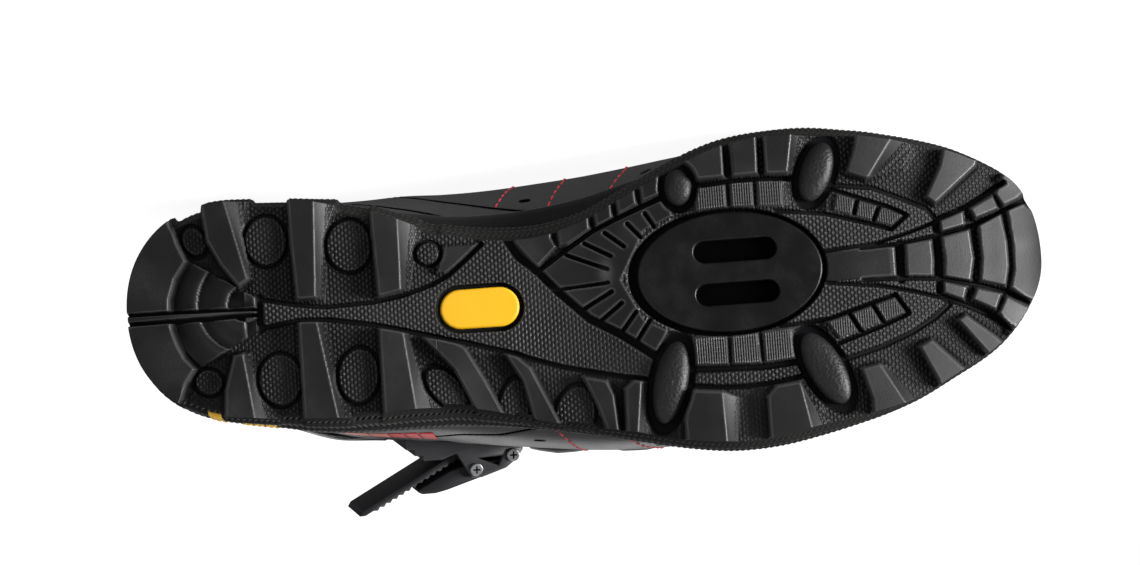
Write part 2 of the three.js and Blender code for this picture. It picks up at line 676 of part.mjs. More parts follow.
// Buckle, drawn in plan in its own frame: x forward along the shoe, y away from the upper
const strapEnd = instepPath.at(-1);
const buckleStart = strapEnd.at * soleLength - strapEnd.wide * strapWidth / 2 - buckleGap - buckleLength;
const toShoe = (piece) => piece.rotate([buckleLean, 0, 0]).rotate([0, -bucklePitch, 0])
  .translate([buckleStart, buckleSide, buckleLift]);
const outline = (points) => points.map(([x, y]) => new THREE.Vector2(x, y));
const across = (points, width) => prism(outline(points), -width / 2, width / 2);
const buckleHug = lastBody(-seatGap, 0, upperStations.filter((at) => at < 0.6));
const buckleDepth = 14;

function buckleBase() {
  const end = buckleLength;
  const foot = across([
    [0, -buckleDepth], [end, -buckleDepth], [end, 0.8], [end - 2, 1.8], [20, 1.8], [13, 4.6], [6, 4.6],
    [6, 2.8], [3, 2.8], [3, 0.6], [0, 0.6],
  ], buckleWidth);
  const cheek = across([
    [16, 0], [end, 0], [end, 2.5], [end - 2.5, 6], [end - 6, 8.6], [end - 11, 10.2], [26.5, 11.4], [23, 11.2],
    [21, 8],
  ], cheekThickness);
  const recess = across([[25, 4.6], [34, 4.2], [32.5, 7.6]], 3 * cheekThickness);
  const shift = (buckleWidth - cheekThickness) / 2;
  const cheeks = [-1, 1].map((side) => cheek.subtract(recess).translate([0, 0, side * shift]));
  return toShoe(union([foot, ...cheeks])).subtract(buckleHug);
}

// The toothed strap lies in the buckle, and its tail stands away behind it
const tailSlope = 0.56;
const tailFoot = 4.8;
const tailBend = 20;
function ladderStrap() {
  const end = tailBend - ladderTailLength;
  const face = (x) => tailFoot + Math.max(0, tailBend - x) * tailSlope;
  const teeth = [];
  for (let x = tailBend; x - toothPitch > end + 3; x -= toothPitch) {
    teeth.push([x, face(x) + toothDepth], [x - toothPitch * 0.7, face(x - toothPitch * 0.7)]);
  }
  const start = buckleLength - 4;
  return toShoe(across([
    [start, tailFoot - ladderThickness], [start, tailFoot], ...teeth, [end + 2, face(end + 2)],
    [end, face(end) - 1], [end + 1, face(end + 1) - ladderThickness],
    [tailBend, tailFoot - ladderThickness],
  ], ladderWidth));
}

function buckleLever() {
  const width = buckleWidth - 2 * cheekThickness - 2 * seatGap;
  return toShoe(across([
    [buckleLength - 2, 5.4], [36, 9], [30, 10.8], [21, 13.6], [15, 15.6], [11, 16.5], [6.4, 16.6], [4.8, 15.8],
    [5.4, 14.9], [12, 11.3], [16, 9.2], [22, 7.2], [buckleLength - 3, 5.4],
  ], width));
}

// Screw heads on both sides of the buckle
const screwHead = 1;
const screwPlaces = [[buckleLength - 3.7, 4], [24.4, 8.4]];
const screws = screwPlaces.flatMap(([x, y], i) => [-1, 1].map((side) => {
  const round = ellipse(new THREE.Vector2(x, y), screwDiameter / 2, screwDiameter / 2, 0, 12);
  const face = side * (buckleWidth / 2 + seatGap);
  const [low, high] = [face, face + side * screwHead].sort((a, b) => a - b);
  const name = `buckle_screw_${['front', 'rear'][i]}_${side < 0 ? 'lower' : 'upper'}`;
  return { name, solid: toShoe(prism(round, low, high)) };
}));

// Assembly

function mesh(name, solid, color, roughness, metalness = 0) {
  const { vertProperties, triVerts, numProp } = solid.getMesh();
  const position = new Float32Array(vertProperties.length / numProp * 3);
  for (let i = 0; i < position.length / 3; i += 1) {
    for (let k = 0; k < 3; k += 1) position[3 * i + k] = vertProperties[numProp * i + k];
  }
  const geometry = new THREE.BufferGeometry();
  geometry.setAttribute('position', new THREE.BufferAttribute(position, 3));
  geometry.setIndex(new THREE.BufferAttribute(new Uint32Array(triVerts), 1));
  const made = new THREE.Mesh(geometry, new THREE.MeshStandardMaterial({ color, roughness, metalness }));
  made.name = name;
  return made;
}

const shoe = new THREE.Group();
shoe.add(
  mesh('outsole', outsole(), 0x2b2b2e, 0.6),
  mesh('midsole', midsoleBody().subtract(windowCut), 0x262629, 0.55),
  mesh('cleat_plate', cleatPlate(), 0x1e1e21, 0.4),
  mesh('sole_badge', prism(badgeOutline(0), badgeLow, underHeight(badgeAt) + badgeDepth), 0xffd60a, 0.35),
  mesh('upper', upper(), 0x1a1a1c, 0.45),
  mesh('heel_counter', overlay(counterOutline, 0, 0.42), 0x202023, 0.4),
  mesh('toe_cap', overlay(toeCapOutline, 0.8, 1), 0x202023, 0.45),
  mesh('tongue', tongue(), 0x242427, 0.85),
  mesh('insole', insole(), 0x3a3a3d, 0.9),
  mesh('strap_front', strap(frontStrapAt), 0x18181a, 0.6),
  mesh('strap_middle', strap(middleStrapAt), 0x18181a, 0.6),
  mesh('instep_strap', band(instepPath, strapWidth, -strapGap, -strapGap - strapThickness), 0x1c1c1f, 0.5),
  mesh('buckle_base', buckleBase(), 0x242427, 0.35),
  mesh('ladder_strap', ladderStrap(), 0x161618, 0.4),
  mesh('buckle_lever', buckleLever(), 0x1a1a1c, 0.3),
  ...pods.map((row) => mesh(row.name, pod(row, treadSlab), 0x2a2a2d, 0.5)),
  ...screws.map(({ name, solid }) => mesh(name, solid, 0xb9bcc0, 0.3, 1)),
);

// At rest the shoe lies on its inner side, on the stable face of its hull that looks most to that side
function restingTurn(group) {
  const points = [];
  const middle = new THREE.Vector3();
  let weight = 0;
  for (const { geometry } of group.children) {
    const { position } = geometry.attributes;
    const corner = (i) => new THREE.Vector3().fromBufferAttribute(position, geometry.index.getX(i));
    for (let i = 0; i < geometry.index.count; i += 3) {
      const [a, b, c] = [corner(i), corner(i + 1), corner(i + 2)];
      const part = a.dot(new THREE.Vector3().crossVectors(b, c)) / 6;
      middle.addScaledVector(a.clone().add(b).add(c), part / 4);
      weight += part;
      points.push(a, b, c);
    }
  }
  middle.divideScalar(weight);
  let best = new THREE.Vector3(0, 0, 1);
  for (const face of new ConvexHull().setFromPoints(points).faces) {
    const corners = [face.edge, face.edge.next, face.edge.next.next].map((edge) => edge.head().point);
    const below = face.normal.clone().multiplyScalar(-face.distanceToPoint(middle)).add(middle);
    const held = new THREE.Triangle(...corners).containsPoint(below);
    if (held && face.normal.y < best.y) best = face.normal.clone();
  }
  return new THREE.Quaternion().setFromUnitVectors(best, new THREE.Vector3(0, -1, 0));
}

const onItsSide = new THREE.Quaternion().setFromRotationMatrix(new THREE.Matrix4().makeBasis(
  new THREE.Vector3(-1, 0, 0), new THREE.Vector3(0, 0, 1), new THREE.Vector3(0, 1, 0),
));
shoe.quaternion.copy(onItsSide).multiply(restingTurn(shoe));
const group = new THREE.Group();
group.add(shoe);
const box = new THREE.Box3().setFromObject(group, true);
const centre = box.getCenter(new THREE.Vector3());
shoe.position.set(-centre.x, -centre.y, -box.min.z);

export default group;
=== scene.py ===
import math
import bmesh
import bpy
import numpy as np
from mathutils import Matrix, Vector


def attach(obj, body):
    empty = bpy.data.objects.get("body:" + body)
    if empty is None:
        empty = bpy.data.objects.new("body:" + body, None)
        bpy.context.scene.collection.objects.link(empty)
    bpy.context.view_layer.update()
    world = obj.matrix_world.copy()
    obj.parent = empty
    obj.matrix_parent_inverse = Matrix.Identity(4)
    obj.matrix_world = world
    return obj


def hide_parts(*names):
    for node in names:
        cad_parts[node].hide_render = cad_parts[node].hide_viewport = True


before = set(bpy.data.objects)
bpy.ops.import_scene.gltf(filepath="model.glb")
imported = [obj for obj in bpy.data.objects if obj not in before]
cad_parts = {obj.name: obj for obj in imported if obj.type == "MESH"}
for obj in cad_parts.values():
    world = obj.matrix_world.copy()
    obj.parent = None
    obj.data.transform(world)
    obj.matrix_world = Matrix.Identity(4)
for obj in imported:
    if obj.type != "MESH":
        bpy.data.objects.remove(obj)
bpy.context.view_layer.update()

mm = 0.001

# Sizes of the shoe in millimetres. Shoe frame: x from heel to toe, y to the outer side, z up from the ground.
shoe = {
    "length": 300, "ballWidth": 102, "soleHeight": 30, "instepHeight": 100, "heelHeight": 98,
    "heelRound": 36, "toeRound": 60, "endPower": 2.15, "endFlat": 0.12, "seatGap": 0.3,
}

# The shoe lies on its inner side: the direction in the shoe that points down at rest, and where its origin
# lies
rest = {"down": (-0.05198, -0.99785, 0.04003), "origin": (149.452, -59.343, 36.567)}

soleColumns = ("treadMedial", "treadLateral", "rimMedial", "rimLateral", "under", "rim")
soleRows = np.array([
    [0.343, 0.353, 0.375, 0.345, 0.33, 1.02],
    [0.343, 0.348, 0.366, 0.340, 0.26, 1.00],
    [0.341, 0.351, 0.356, 0.345, 0.22, 0.98],
    [0.336, 0.363, 0.348, 0.372, 0.20, 0.96],
    [0.324, 0.373, 0.340, 0.402, 0.20, 0.94],
    [0.294, 0.377, 0.329, 0.412, 0.21, 0.93],
    [0.245, 0.365, 0.278, 0.415, 0.25, 0.92],
    [0.192, 0.367, 0.232, 0.417, 0.32, 0.91],
    [0.163, 0.394, 0.212, 0.426, 0.39, 0.89],
    [0.163, 0.433, 0.210, 0.443, 0.43, 0.86],
    [0.204, 0.461, 0.240, 0.470, 0.40, 0.81],
    [0.275, 0.490, 0.309, 0.504, 0.32, 0.75],
    [0.345, 0.524, 0.381, 0.535, 0.25, 0.71],
    [0.402, 0.539, 0.433, 0.554, 0.21, 0.69],
    [0.427, 0.531, 0.453, 0.548, 0.20, 0.69],
    [0.424, 0.500, 0.457, 0.522, 0.22, 0.71],
    [0.414, 0.476, 0.438, 0.482, 0.28, 0.76],
    [0.398, 0.447, 0.421, 0.437, 0.38, 0.84],
    [0.398, 0.405, 0.419, 0.396, 0.52, 0.95],
    [0.415, 0.385, 0.436, 0.376, 0.69, 1.09],
    [0.500, 0.350, 0.510, 0.345, 0.88, 1.26],
])

upperColumns = ("medial", "lateral", "crown", "bulge", "ridge", "square")
upperRows = np.array([
    [0.310, 0.305, 1.22, 0.50, 0.00, 2.6],
    [0.335, 0.318, 1.22, 0.50, 0.00, 2.6],
    [0.343, 0.329, 1.22, 0.50, 0.00, 2.6],
    [0.342, 0.352, 1.22, 0.50, 0.00, 2.6],
    [0.345, 0.400, 1.22, 0.50, 0.01, 2.6],
    [0.350, 0.428, 1.23, 0.50, 0.02, 2.5],
    [0.358, 0.444, 1.24, 0.49, 0.03, 2.4],
    [0.354, 0.462, 1.21, 0.48, 0.04, 2.3],
    [0.356, 0.484, 1.15, 0.46, 0.05, 2.2],
    [0.364, 0.503, 1.07, 0.43, 0.06, 2.1],
    [0.374, 0.520, 0.98, 0.40, 0.06, 2.0],
    [0.390, 0.528, 0.90, 0.38, 0.06, 2.0],
    [0.408, 0.526, 0.82, 0.36, 0.05, 2.0],
    [0.422, 0.526, 0.755, 0.34, 0.05, 2.0],
    [0.430, 0.520, 0.70, 0.34, 0.05, 2.05],
    [0.428, 0.496, 0.66, 0.34, 0.04, 2.1],
    [0.414, 0.462, 0.63, 0.35, 0.04, 2.2],
    [0.396, 0.415, 0.61, 0.37, 0.03, 2.3],
    [0.392, 0.380, 0.60, 0.40, 0.02, 2.4],
    [0.410, 0.360, 0.60, 0.44, 0.01, 2.4],
    [0.460, 0.335, 0.61, 0.50, 0.00, 2.4],
])


# A Catmull-Rom curve through one column of evenly spaced rows, for an array of shares
def column(rows, names, name, at):
    values = rows[:, names.index(name)]
    last = len(values) - 1
    place = np.clip(at, 0, 1) * last
    i = np.minimum(np.floor(place).astype(int), last - 1)
    f = place - i
    a, b, c, d = (values[np.clip(i + k, 0, last)] for k in (-1, 0, 1, 2))
    return b + 0.5 * f * ((c - a) + f * ((2 * a - 5 * b + 4 * c - d) + f * (3 * b - a - 3 * c + d)))


def sole(name, at):
    return column(soleRows, soleColumns, name, at)


def last(name, at):
    return column(upperRows, upperColumns, name, at)


# Superellipse rounding of heel and toe in plan: (1 - past^p)^(1/p), never under a narrow flat
def endRounding(at, flat=None):
    x = at * shoe["length"]
    fromHeel = np.clip(1 - x / shoe["heelRound"], 0, 1)
    fromToe = np.clip(1 - (shoe["length"] - x) / shoe["toeRound"], 0, 1)
    past = np.maximum(fromHeel, fromToe)
    p = shoe["endPower"]
    return np.maximum(shoe["endFlat"] if flat is None else flat, (1 - past ** p) ** (1 / p))


def treadShare(at, side):
    return np.where(side < 0, sole("treadMedial", at), sole("treadLateral", at))


def rimShare(at, side):
    return np.where(side < 0, sole("rimMedial", at), sole("rimLateral", at))


def treadEdge(at, side):
    return treadShare(at, side) * shoe["ballWidth"] * endRounding(at)


def underHeight(at):
    return sole("under", at) * shoe["soleHeight"]


def rimHeight(at):
    return sole("rim", at) * shoe["soleHeight"]


# Turns shoe millimetres into row metres: first the small turn that lays "down" on -y, then the shoe on its
# side
def restMatrix():
    down = Vector(rest["down"]).normalized()
    settle = down.rotation_difference(Vector((0, -1, 0))).to_matrix()
    onSide = Matrix(((-1, 0, 0), (0, 0, 1), (0, 1, 0)))
    return np.array(onSide @ settle)


restTurn = restMatrix()


def toRow(points):
    return (points @ restTurn.T + np.array(rest["origin"])) * mm


# Makes an object of shoe-frame points and faces, riding on the one body; loose doubles are merged
def addMesh(name, points, faces, merge=0.0):
    mesh = bpy.data.meshes.new(name)
    mesh.from_pydata(toRow(points), [], faces)
    piece = bpy.data.objects.new(name, mesh)
    bpy.context.scene.collection.objects.link(piece)
    if merge:
        work = bmesh.new()
        work.from_mesh(mesh)
        bmesh.ops.remove_doubles(work, verts=work.verts, dist=merge * mm)
        bmesh.ops.recalc_face_normals(work, faces=work.faces)
        work.to_mesh(mesh)
        work.free()
    mesh.polygons.foreach_set("use_smooth", np.full(len(mesh.polygons), True))
    mesh.update()
    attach(piece, "root")
    return piece


# Quads of a grid of rows by columns, optionally closed around the columns
def gridFaces(rows, columns, closed=False):
    i, j = np.meshgrid(np.arange(rows - 1), np.arange(columns if closed else columns - 1), indexing="ij")
    k = (j + 1) % columns
    quads = np.stack([i * columns + j, i * columns + k, (i + 1) * columns + k, (i + 1) * columns + j], -1)
    return quads.reshape(-1, 4).tolist()


# The same around a tube, with a face over either end
def tubeFaces(rows, columns):
    ends = [list(range(columns))[::-1], list(range((rows - 1) * columns, rows * columns))]
    return gridFaces(rows, columns, closed=True) + ends


def smoothStep(x):
    x = np.clip(x, 0, 1)
    return x * x * (3 - 2 * x)


# Camera square to the sole and a little to the outer side, rolled so that the toe points right
view = {
    "centre": (144.6, -0.6, 5), "widthAcross": 371.2, "distance": 1500, "sensor": 36,
    "outerTilt": 4.3, "roll": 4.0,
}


def makeCamera():
    tilt, roll = math.radians(view["outerTilt"]), math.radians(view["roll"])
    forward = np.array([0, -math.sin(tilt), math.cos(tilt)])
    right = np.array([math.cos(roll), math.sin(roll) * math.cos(tilt), math.sin(roll) * math.sin(tilt)])
    up = np.cross(right, forward)
    place = np.array(view["centre"]) - forward * view["distance"]
    turn = np.array([restTurn @ right, restTurn @ up, restTurn @ -forward]).T
    data = bpy.data.cameras.new("camera")
    data.sensor_width = view["sensor"]
    data.lens = view["sensor"] * view["distance"] / view["widthAcross"]
    data.clip_end = 50
    camera = bpy.data.objects.new("camera", data)
    camera.matrix_world = Matrix.Translation(Vector(toRow(place))) @ Matrix(turn.tolist()).to_4x4()
    bpy.context.scene.collection.objects.link(camera)
    bpy.context.scene.camera = camera


makeCamera()
print("camera placed")

# Plain pale floor and soft studio light
studio = {
    "floorSize": 40, "floorColour": (0.30, 0.30, 0.30, 1), "floorGlow": 0.92,
    "worldColour": (0.95, 0.96, 0.98, 1),
    "worldLight": 0.32, "glossLight": 0.055,
    "lights": (
        # name, place in metres, size, power in watts
        ("toeKey", (-1.35, -0.66, 0.22), 0.7, 46),
        ("heelFill", (1.25, -1.35, 0.80), 1.2, 4),
        ("topSoft", (0.05, -0.25, 1.70), 1.2, 3.5),
        ("backSoft", (0.20, 1.50, 1.10), 1.2, 7),
    ),
}


def makeStudio():
    half = studio["floorSize"] / 2
    mesh = bpy.data.meshes.new("floor")
    mesh.from_pydata([(-half, -half, 0), (half, -half, 0), (half, half, 0), (-half, half, 0)], [],
                     [(0, 1, 2, 3)])
    floor = bpy.data.objects.new("floor", mesh)
    bpy.context.scene.collection.objects.link(floor)
    floor.visible_glossy = False
    finish = bpy.data.materials.new("floorPaper")
    finish.use_nodes = True
    shader = finish.node_tree.nodes["Principled BSDF"]
    shader.inputs["Base Color"].default_value = studio["floorColour"]
    shader.inputs["Roughness"].default_value = 0.9
    shader.inputs["Specular IOR Level"].default_value = 0.1
    shader.inputs["Emission Color"].default_value = (1, 1, 1, 1)
    shader.inputs["Emission Strength"].default_value = studio["floorGlow"]
    mesh.materials.append(finish)
    for name, place, size, power in studio["lights"]:
        data = bpy.data.lights.new(name, "AREA")
        data.shape = "DISK"
        data.size = size
        data.energy = power
        light = bpy.data.objects.new(name, data)
        light.location = place
        light.rotation_euler = (Vector((0, 0, 0.05)) - Vector(place)).to_track_quat("-Z", "Y").to_euler()
        bpy.context.scene.collection.objects.link(light)
    world = bpy.data.worlds.new("studio")
    bpy.context.scene.world = world
    world.use_nodes = True
    back = world.node_tree.nodes["Background"]
    back.inputs["Color"].default_value = studio["worldColour"]
    work = world.node_tree
    rays = work.nodes.new("ShaderNodeLightPath")
    lighting, seen = work.nodes.new("ShaderNodeMix"), work.nodes.new("ShaderNodeMix")
    lighting.inputs[2].default_value = studio["worldLight"]
    lighting.inputs[3].default_value = studio["glossLight"]
    seen.inputs[3].default_value = 1.1
    work.links.new(rays.outputs["Is Glossy Ray"], lighting.inputs[0])
    work.links.new(rays.outputs["Is Camera Ray"], seen.inputs[0])
    work.links.new(lighting.outputs[0], seen.inputs[2])
    work.links.new(seen.outputs[0], back.inputs["Strength"])
    bpy.context.scene.view_settings.view_transform = "Standard"


makeStudio()
print("studio lit")

# Small helpers that build node trees
class Tree:
    def __init__(self, tree):
        self.tree = tree

    def add(self, kind, inputs=None, **settings):
        node = self.tree.nodes.new(kind)
        for name, value in settings.items():
            setattr(node, name, value)
        for name, value in (inputs or {}).items():
            if isinstance(value, bpy.types.NodeSocket):
                self.tree.links.new(value, node.inputs[name])
            else:
                node.inputs[name].default_value = value
        return node

    def math(self, operation, a, b=0.0):
        return self.add("ShaderNodeMath", {0: a, 1: b}, operation=operation).outputs[0]

    def noise(self, vector, scale, detail=2.0, rough=0.5):
        made = self.add("ShaderNodeTexNoise", {"Vector": vector, "Scale": scale, "Detail": detail,
                                               "Roughness": rough})
        return made.outputs["Fac"]

    def ramp(self, value, low, high):
        return self.add("ShaderNodeMapRange", {"Value": value, "From Min": low,
                                               "From Max": high}).outputs["Result"]

    def mix(self, share, first, second):
        made = self.add("ShaderNodeMix", {0: share, 6: first, 7: second}, data_type="RGBA")
        return made.outputs[2]

    def bump(self, height, strength, distance, normal=None):
        inputs = {"Height": height, "Strength": strength, "Distance": distance}
        if normal is not None:
            inputs["Normal"] = normal
        return self.add("ShaderNodeBump", inputs).outputs["Normal"]


def makeGroup(name, inputs, outputs, build):
    tree = bpy.data.node_groups.new(name, "ShaderNodeTree")
    for label, kind, value in inputs:
        made = tree.interface.new_socket(label, in_out="INPUT", socket_type=kind)
        if value is not None:
            made.default_value = value
    for label, kind in outputs:
        tree.interface.new_socket(label, in_out="OUTPUT", socket_type=kind)
    work = Tree(tree)
    start = work.add("NodeGroupInput")
    end = work.add("NodeGroupOutput")
    build(work, start.outputs, lambda label, value: tree.links.new(value, end.inputs[label]))
    return tree


# Rubber or plastic skin: a fine moulded grain, broad mottling and pale dust that gathers by chance
def buildSkin(work, given, give):
    place = given["Place"]
    fine = work.noise(place, given["Grain"], 3.0, 0.6)
    broad = work.noise(place, given["Mottle"], 2.0, 0.5)
    dust = work.math("MULTIPLY", work.ramp(broad, 0.48, 0.75), work.ramp(fine, 0.35, 0.7))
    give("Height", fine)
    give("Mottle", broad)
    give("Dust", work.math("MULTIPLY", dust, given["Dustiness"]))


skinGroup = makeGroup("mouldedSkin", [
    ("Place", "NodeSocketVector", None), ("Grain", "NodeSocketFloat", 2600.0),
    ("Mottle", "NodeSocketFloat", 55.0),
    ("Dustiness", "NodeSocketFloat", 0.3),
], [("Height", "NodeSocketFloat"), ("Mottle", "NodeSocketFloat"), ("Dust", "NodeSocketFloat")], buildSkin)


# Staggered cells like fish scales, from plan places in millimetres: each row of cells is shifted by half a
# cell, and a cell rises towards its middle
def buildScales(work, given, give):
    split = work.add("ShaderNodeSeparateXYZ", {"Vector": given["Place"]})
    along = work.math("DIVIDE", split.outputs["X"], given["Along"])
    across = work.math("DIVIDE", split.outputs["Y"], given["Across"])
    row = work.math("FLOOR", along)
    shift = work.math("MULTIPLY", work.math("MODULO", row, 2.0), 0.5)
    u = work.math("SUBTRACT", work.math("FRACT", along), 0.5)
    v = work.math("SUBTRACT", work.math("FRACT", work.math("ADD", work.math("ADD", across, shift), 500.0)),
                  0.5)
    far = work.math("ADD", work.math("MULTIPLY", u, u), work.math("MULTIPLY", v, v))
    cell = work.ramp(far, 0.26, 0.02)
    give("Height", work.math("MULTIPLY", cell, given["Share"]))


scaleGroup = makeGroup("scaleCells", [
    ("Place", "NodeSocketVector", None), ("Along", "NodeSocketFloat", 0.8),
    ("Across", "NodeSocketFloat", 1.3),
    ("Share", "NodeSocketFloat", 1.0),
], [("Height", "NodeSocketFloat")], buildScales)


# Woven cloth: warp and weft threads cross over each other, from a place in threads
def buildWeave(work, given, give):
    split = work.add("ShaderNodeSeparateXYZ", {"Vector": given["Place"]})
    u = work.math("MULTIPLY", split.outputs["X"], given["Threads"])
    v = work.math("MULTIPLY", split.outputs["Y"], given["Threads"])
    warp = work.math("ABSOLUTE", work.math("SINE", u))
    weft = work.math("ABSOLUTE", work.math("SINE", v))
    over = work.math("GREATER_THAN", work.math("MULTIPLY", work.math("SINE", work.math("MULTIPLY", u, 0.5)),
                                               work.math("SINE", work.math("MULTIPLY", v, 0.5))), 0.0)
    first = work.math("MULTIPLY", warp, over)
    second = work.math("MULTIPLY", weft, work.math("SUBTRACT", 1.0, over))
    give("Height", work.math("ADD", first, second))


weaveGroup = makeGroup("weave", [
    ("Place", "NodeSocketVector", None), ("Threads", "NodeSocketFloat", 6.0),
], [("Height", "NodeSocketFloat")], buildWeave)


# Leather grain: small closed cells with fine creases between them
def buildGrain(work, given, give):
    cells = work.add("ShaderNodeTexVoronoi", {"Vector": given["Place"], "Scale": given["Scale"]},
                     feature="DISTANCE_TO_EDGE")
    crease = work.ramp(cells.outputs["Distance"], 0.0, 0.22)
    fine = work.noise(given["Place"], work.math("MULTIPLY", given["Scale"], 2.5), 2.0, 0.55)
    give("Height", work.math("ADD", crease, work.math("MULTIPLY", fine, 0.6)))


grainGroup = makeGroup("leatherGrain", [
    ("Place", "NodeSocketVector", None), ("Scale", "NodeSocketFloat", 700.0),
], [("Height", "NodeSocketFloat")], buildGrain)

# Finishes: base colour, paler dust or worn colour, roughness from and to, and coat
finishes = {
    "treadRubber": ((0.0075, 0.0075, 0.0082), (0.06, 0.058, 0.056), (0.42, 0.62), 0.06),
    "wallRubber": ((0.010, 0.0098, 0.010), (0.070, 0.068, 0.064), (0.48, 0.66), 0.03),
    "plateNylon": ((0.0042, 0.0042, 0.0048), (0.05, 0.05, 0.05), (0.34, 0.50), 0.10),
    "podRubber": ((0.0075, 0.0075, 0.0085), (0.03, 0.029, 0.028), (0.46, 0.60), 0.03),
    "badge": ((0.75, 0.40, 0.0003), (0.77, 0.43, 0.005), (0.40, 0.50), 0.03),
    "leather": ((0.040, 0.039, 0.040), (0.05, 0.05, 0.05), (0.36, 0.52), 0.05),
    "counterSkin": ((0.020, 0.020, 0.0215), (0.05, 0.05, 0.05), (0.28, 0.42), 0.12),
    "cloth": ((0.014, 0.014, 0.016), (0.05, 0.05, 0.052), (0.80, 0.95), 0.0),
    "lining": ((0.022, 0.022, 0.025), (0.07, 0.07, 0.07), (0.85, 0.95), 0.0),
    "webbing": ((0.010, 0.010, 0.011), (0.04, 0.04, 0.042), (0.62, 0.80), 0.0),
    "hardPlastic": ((0.012, 0.012, 0.014), (0.06, 0.06, 0.06), (0.26, 0.40), 0.15),
    "greyPlastic": ((0.035, 0.035, 0.038), (0.10, 0.10, 0.10), (0.30, 0.45), 0.12),
    "screwMetal": ((0.72, 0.73, 0.75), (0.30, 0.30, 0.30), (0.22, 0.34), 0.0),
    "redThread": ((0.55, 0.03, 0.04), (0.55, 0.12, 0.12), (0.55, 0.70), 0.0),
    "blackThread": ((0.009, 0.009, 0.009), (0.008, 0.008, 0.008), (0.55, 0.70), 0.0),
    "redPrint": ((0.55, 0.012, 0.016), (0.60, 0.10, 0.09), (0.40, 0.55), 0.02),
    "wornPrint": ((0.62, 0.20, 0.16), (0.75, 0.60, 0.55), (0.40, 0.55), 0.05),
    "yellowPrint": ((0.95, 0.55, 0.02), (0.60, 0.38, 0.08), (0.40, 0.55), 0.05),
    # Painted shade: a near-black finish for seam lines, vents, slot floors and screw crosses, standing in for
    # the shade in those hollows
    "darkRecess": ((0.001, 0.001, 0.001), (0.002, 0.002, 0.002), (0.90, 1.0), 0.0),
}


# One finish as a material: skin noise mixes base and dust colours and moves the roughness, and the bump is
# the skin's grain together with the pattern that pattern(work, place) adds
def makeFinish(name, grain=2600.0, mottle=55.0, dustiness=0.35, bump=0.12, pattern=None, metal=0.0, sheen=0.0,
               specular=0.5):
    colour, dust, (low, high), coat = finishes[name]
    made = bpy.data.materials.new(name)
    made.use_nodes = True
    work = Tree(made.node_tree)
    shader = made.node_tree.nodes["Principled BSDF"]
    place = work.add("ShaderNodeTexCoord").outputs["Object"]
    skin = work.add("ShaderNodeGroup", {}, node_tree=skinGroup)
    made.node_tree.links.new(place, skin.inputs["Place"])
    for label, value in (("Grain", grain), ("Mottle", mottle), ("Dustiness", dustiness)):
        skin.inputs[label].default_value = value
    base = work.mix(skin.outputs["Dust"], (*colour, 1), (*dust, 1))
    rough = work.add("ShaderNodeMapRange", {"Value": skin.outputs["Mottle"], "From Min": 0.3, "From Max": 0.7,
                                            "To Min": low, "To Max": high}).outputs["Result"]
    normal = work.bump(skin.outputs["Height"], bump, 0.0003)
    if pattern:
        base, rough, normal = pattern(work, place, base, rough, normal)
    shader.inputs["Specular IOR Level"].default_value = specular
    for label, value in (("Base Color", base), ("Roughness", rough), ("Normal", normal)):
        made.node_tree.links.new(value, shader.inputs[label])
    shader.inputs["Coat Weight"].default_value = coat
    shader.inputs["Coat Roughness"].default_value = 0.3
    shader.inputs["Metallic"].default_value = metal
    shader.inputs["Sheen Weight"].default_value = sheen
    return made


def planPlace(work, name):
    return work.add("ShaderNodeAttribute", attribute_name=name).outputs["Vector"]


def mask(work, name):
    return work.add("ShaderNodeAttribute", attribute_name=name).outputs["Fac"]


# Grooves reflect less than the faces around them, as light hardly gets into them
def dullInGrooves(work, low, faces, grooves):
    shader = work.tree.nodes["Principled BSDF"]
    level = work.add("ShaderNodeMapRange", {"Value": low, "To Min": faces,
                                            "To Max": grooves}).outputs["Result"]
    work.tree.links.new(level, shader.inputs["Specular IOR Level"])


# Tread: scale cells and fine ribs follow the plan in millimetres where the masks say so; grooves and the
# feet of the relief get painted shade, and crests and the tops of the scale cells a painted highlight
def treadPattern(work, place, base, rough, normal):
    plan = planPlace(work, "plan")
    scales = work.add("ShaderNodeGroup", {"Place": plan, "Along": 1.2, "Across": 2.0,
                                          "Share": mask(work, "scales")},
                      node_tree=scaleGroup).outputs["Height"]
    split = work.add("ShaderNodeSeparateXYZ", {"Vector": plan})
    rib = work.math("ABSOLUTE", work.math("SINE", work.math("MULTIPLY", split.outputs["X"], 3.9)))
    cross = work.math("ABSOLUTE", work.math("SINE", work.math("MULTIPLY", split.outputs["Y"], 2.2)))
    ribs = work.math("MULTIPLY", work.math("ADD", rib, work.math("MULTIPLY", cross, 0.2)), mask(work, "ribs"))
    normal = work.bump(work.math("ADD", scales, work.math("MULTIPLY", ribs, 0.25)), 1.0, 0.0009, normal)
    # Painted highlight: the tops of the scale cells are mixed towards a paler grey
    base = work.mix(work.math("MULTIPLY", work.ramp(scales, 0.45, 1.0), 0.75), base, (0.045, 0.044, 0.043, 1))
    # Painted shade: the low mask darkens grooves and the feet of the relief towards near black
    low = mask(work, "low")
    base = work.mix(work.math("MULTIPLY", low, 0.7), base, (0.004, 0.004, 0.005, 1))
    rough = work.math("ADD", rough, work.math("MULTIPLY", low, 0.15))
    dullInGrooves(work, low, 0.40, 0.04)
    # Painted highlight: crests and one spot are mixed towards a paler grey and made glossier
    base = work.mix(work.math("MULTIPLY", mask(work, "paintedHighlight"), 0.5), base, (0.10, 0.10, 0.10, 1))
    rough = work.math("SUBTRACT", rough, work.math("MULTIPLY", mask(work, "paintedHighlight"), 0.2))
    return base, rough, normal


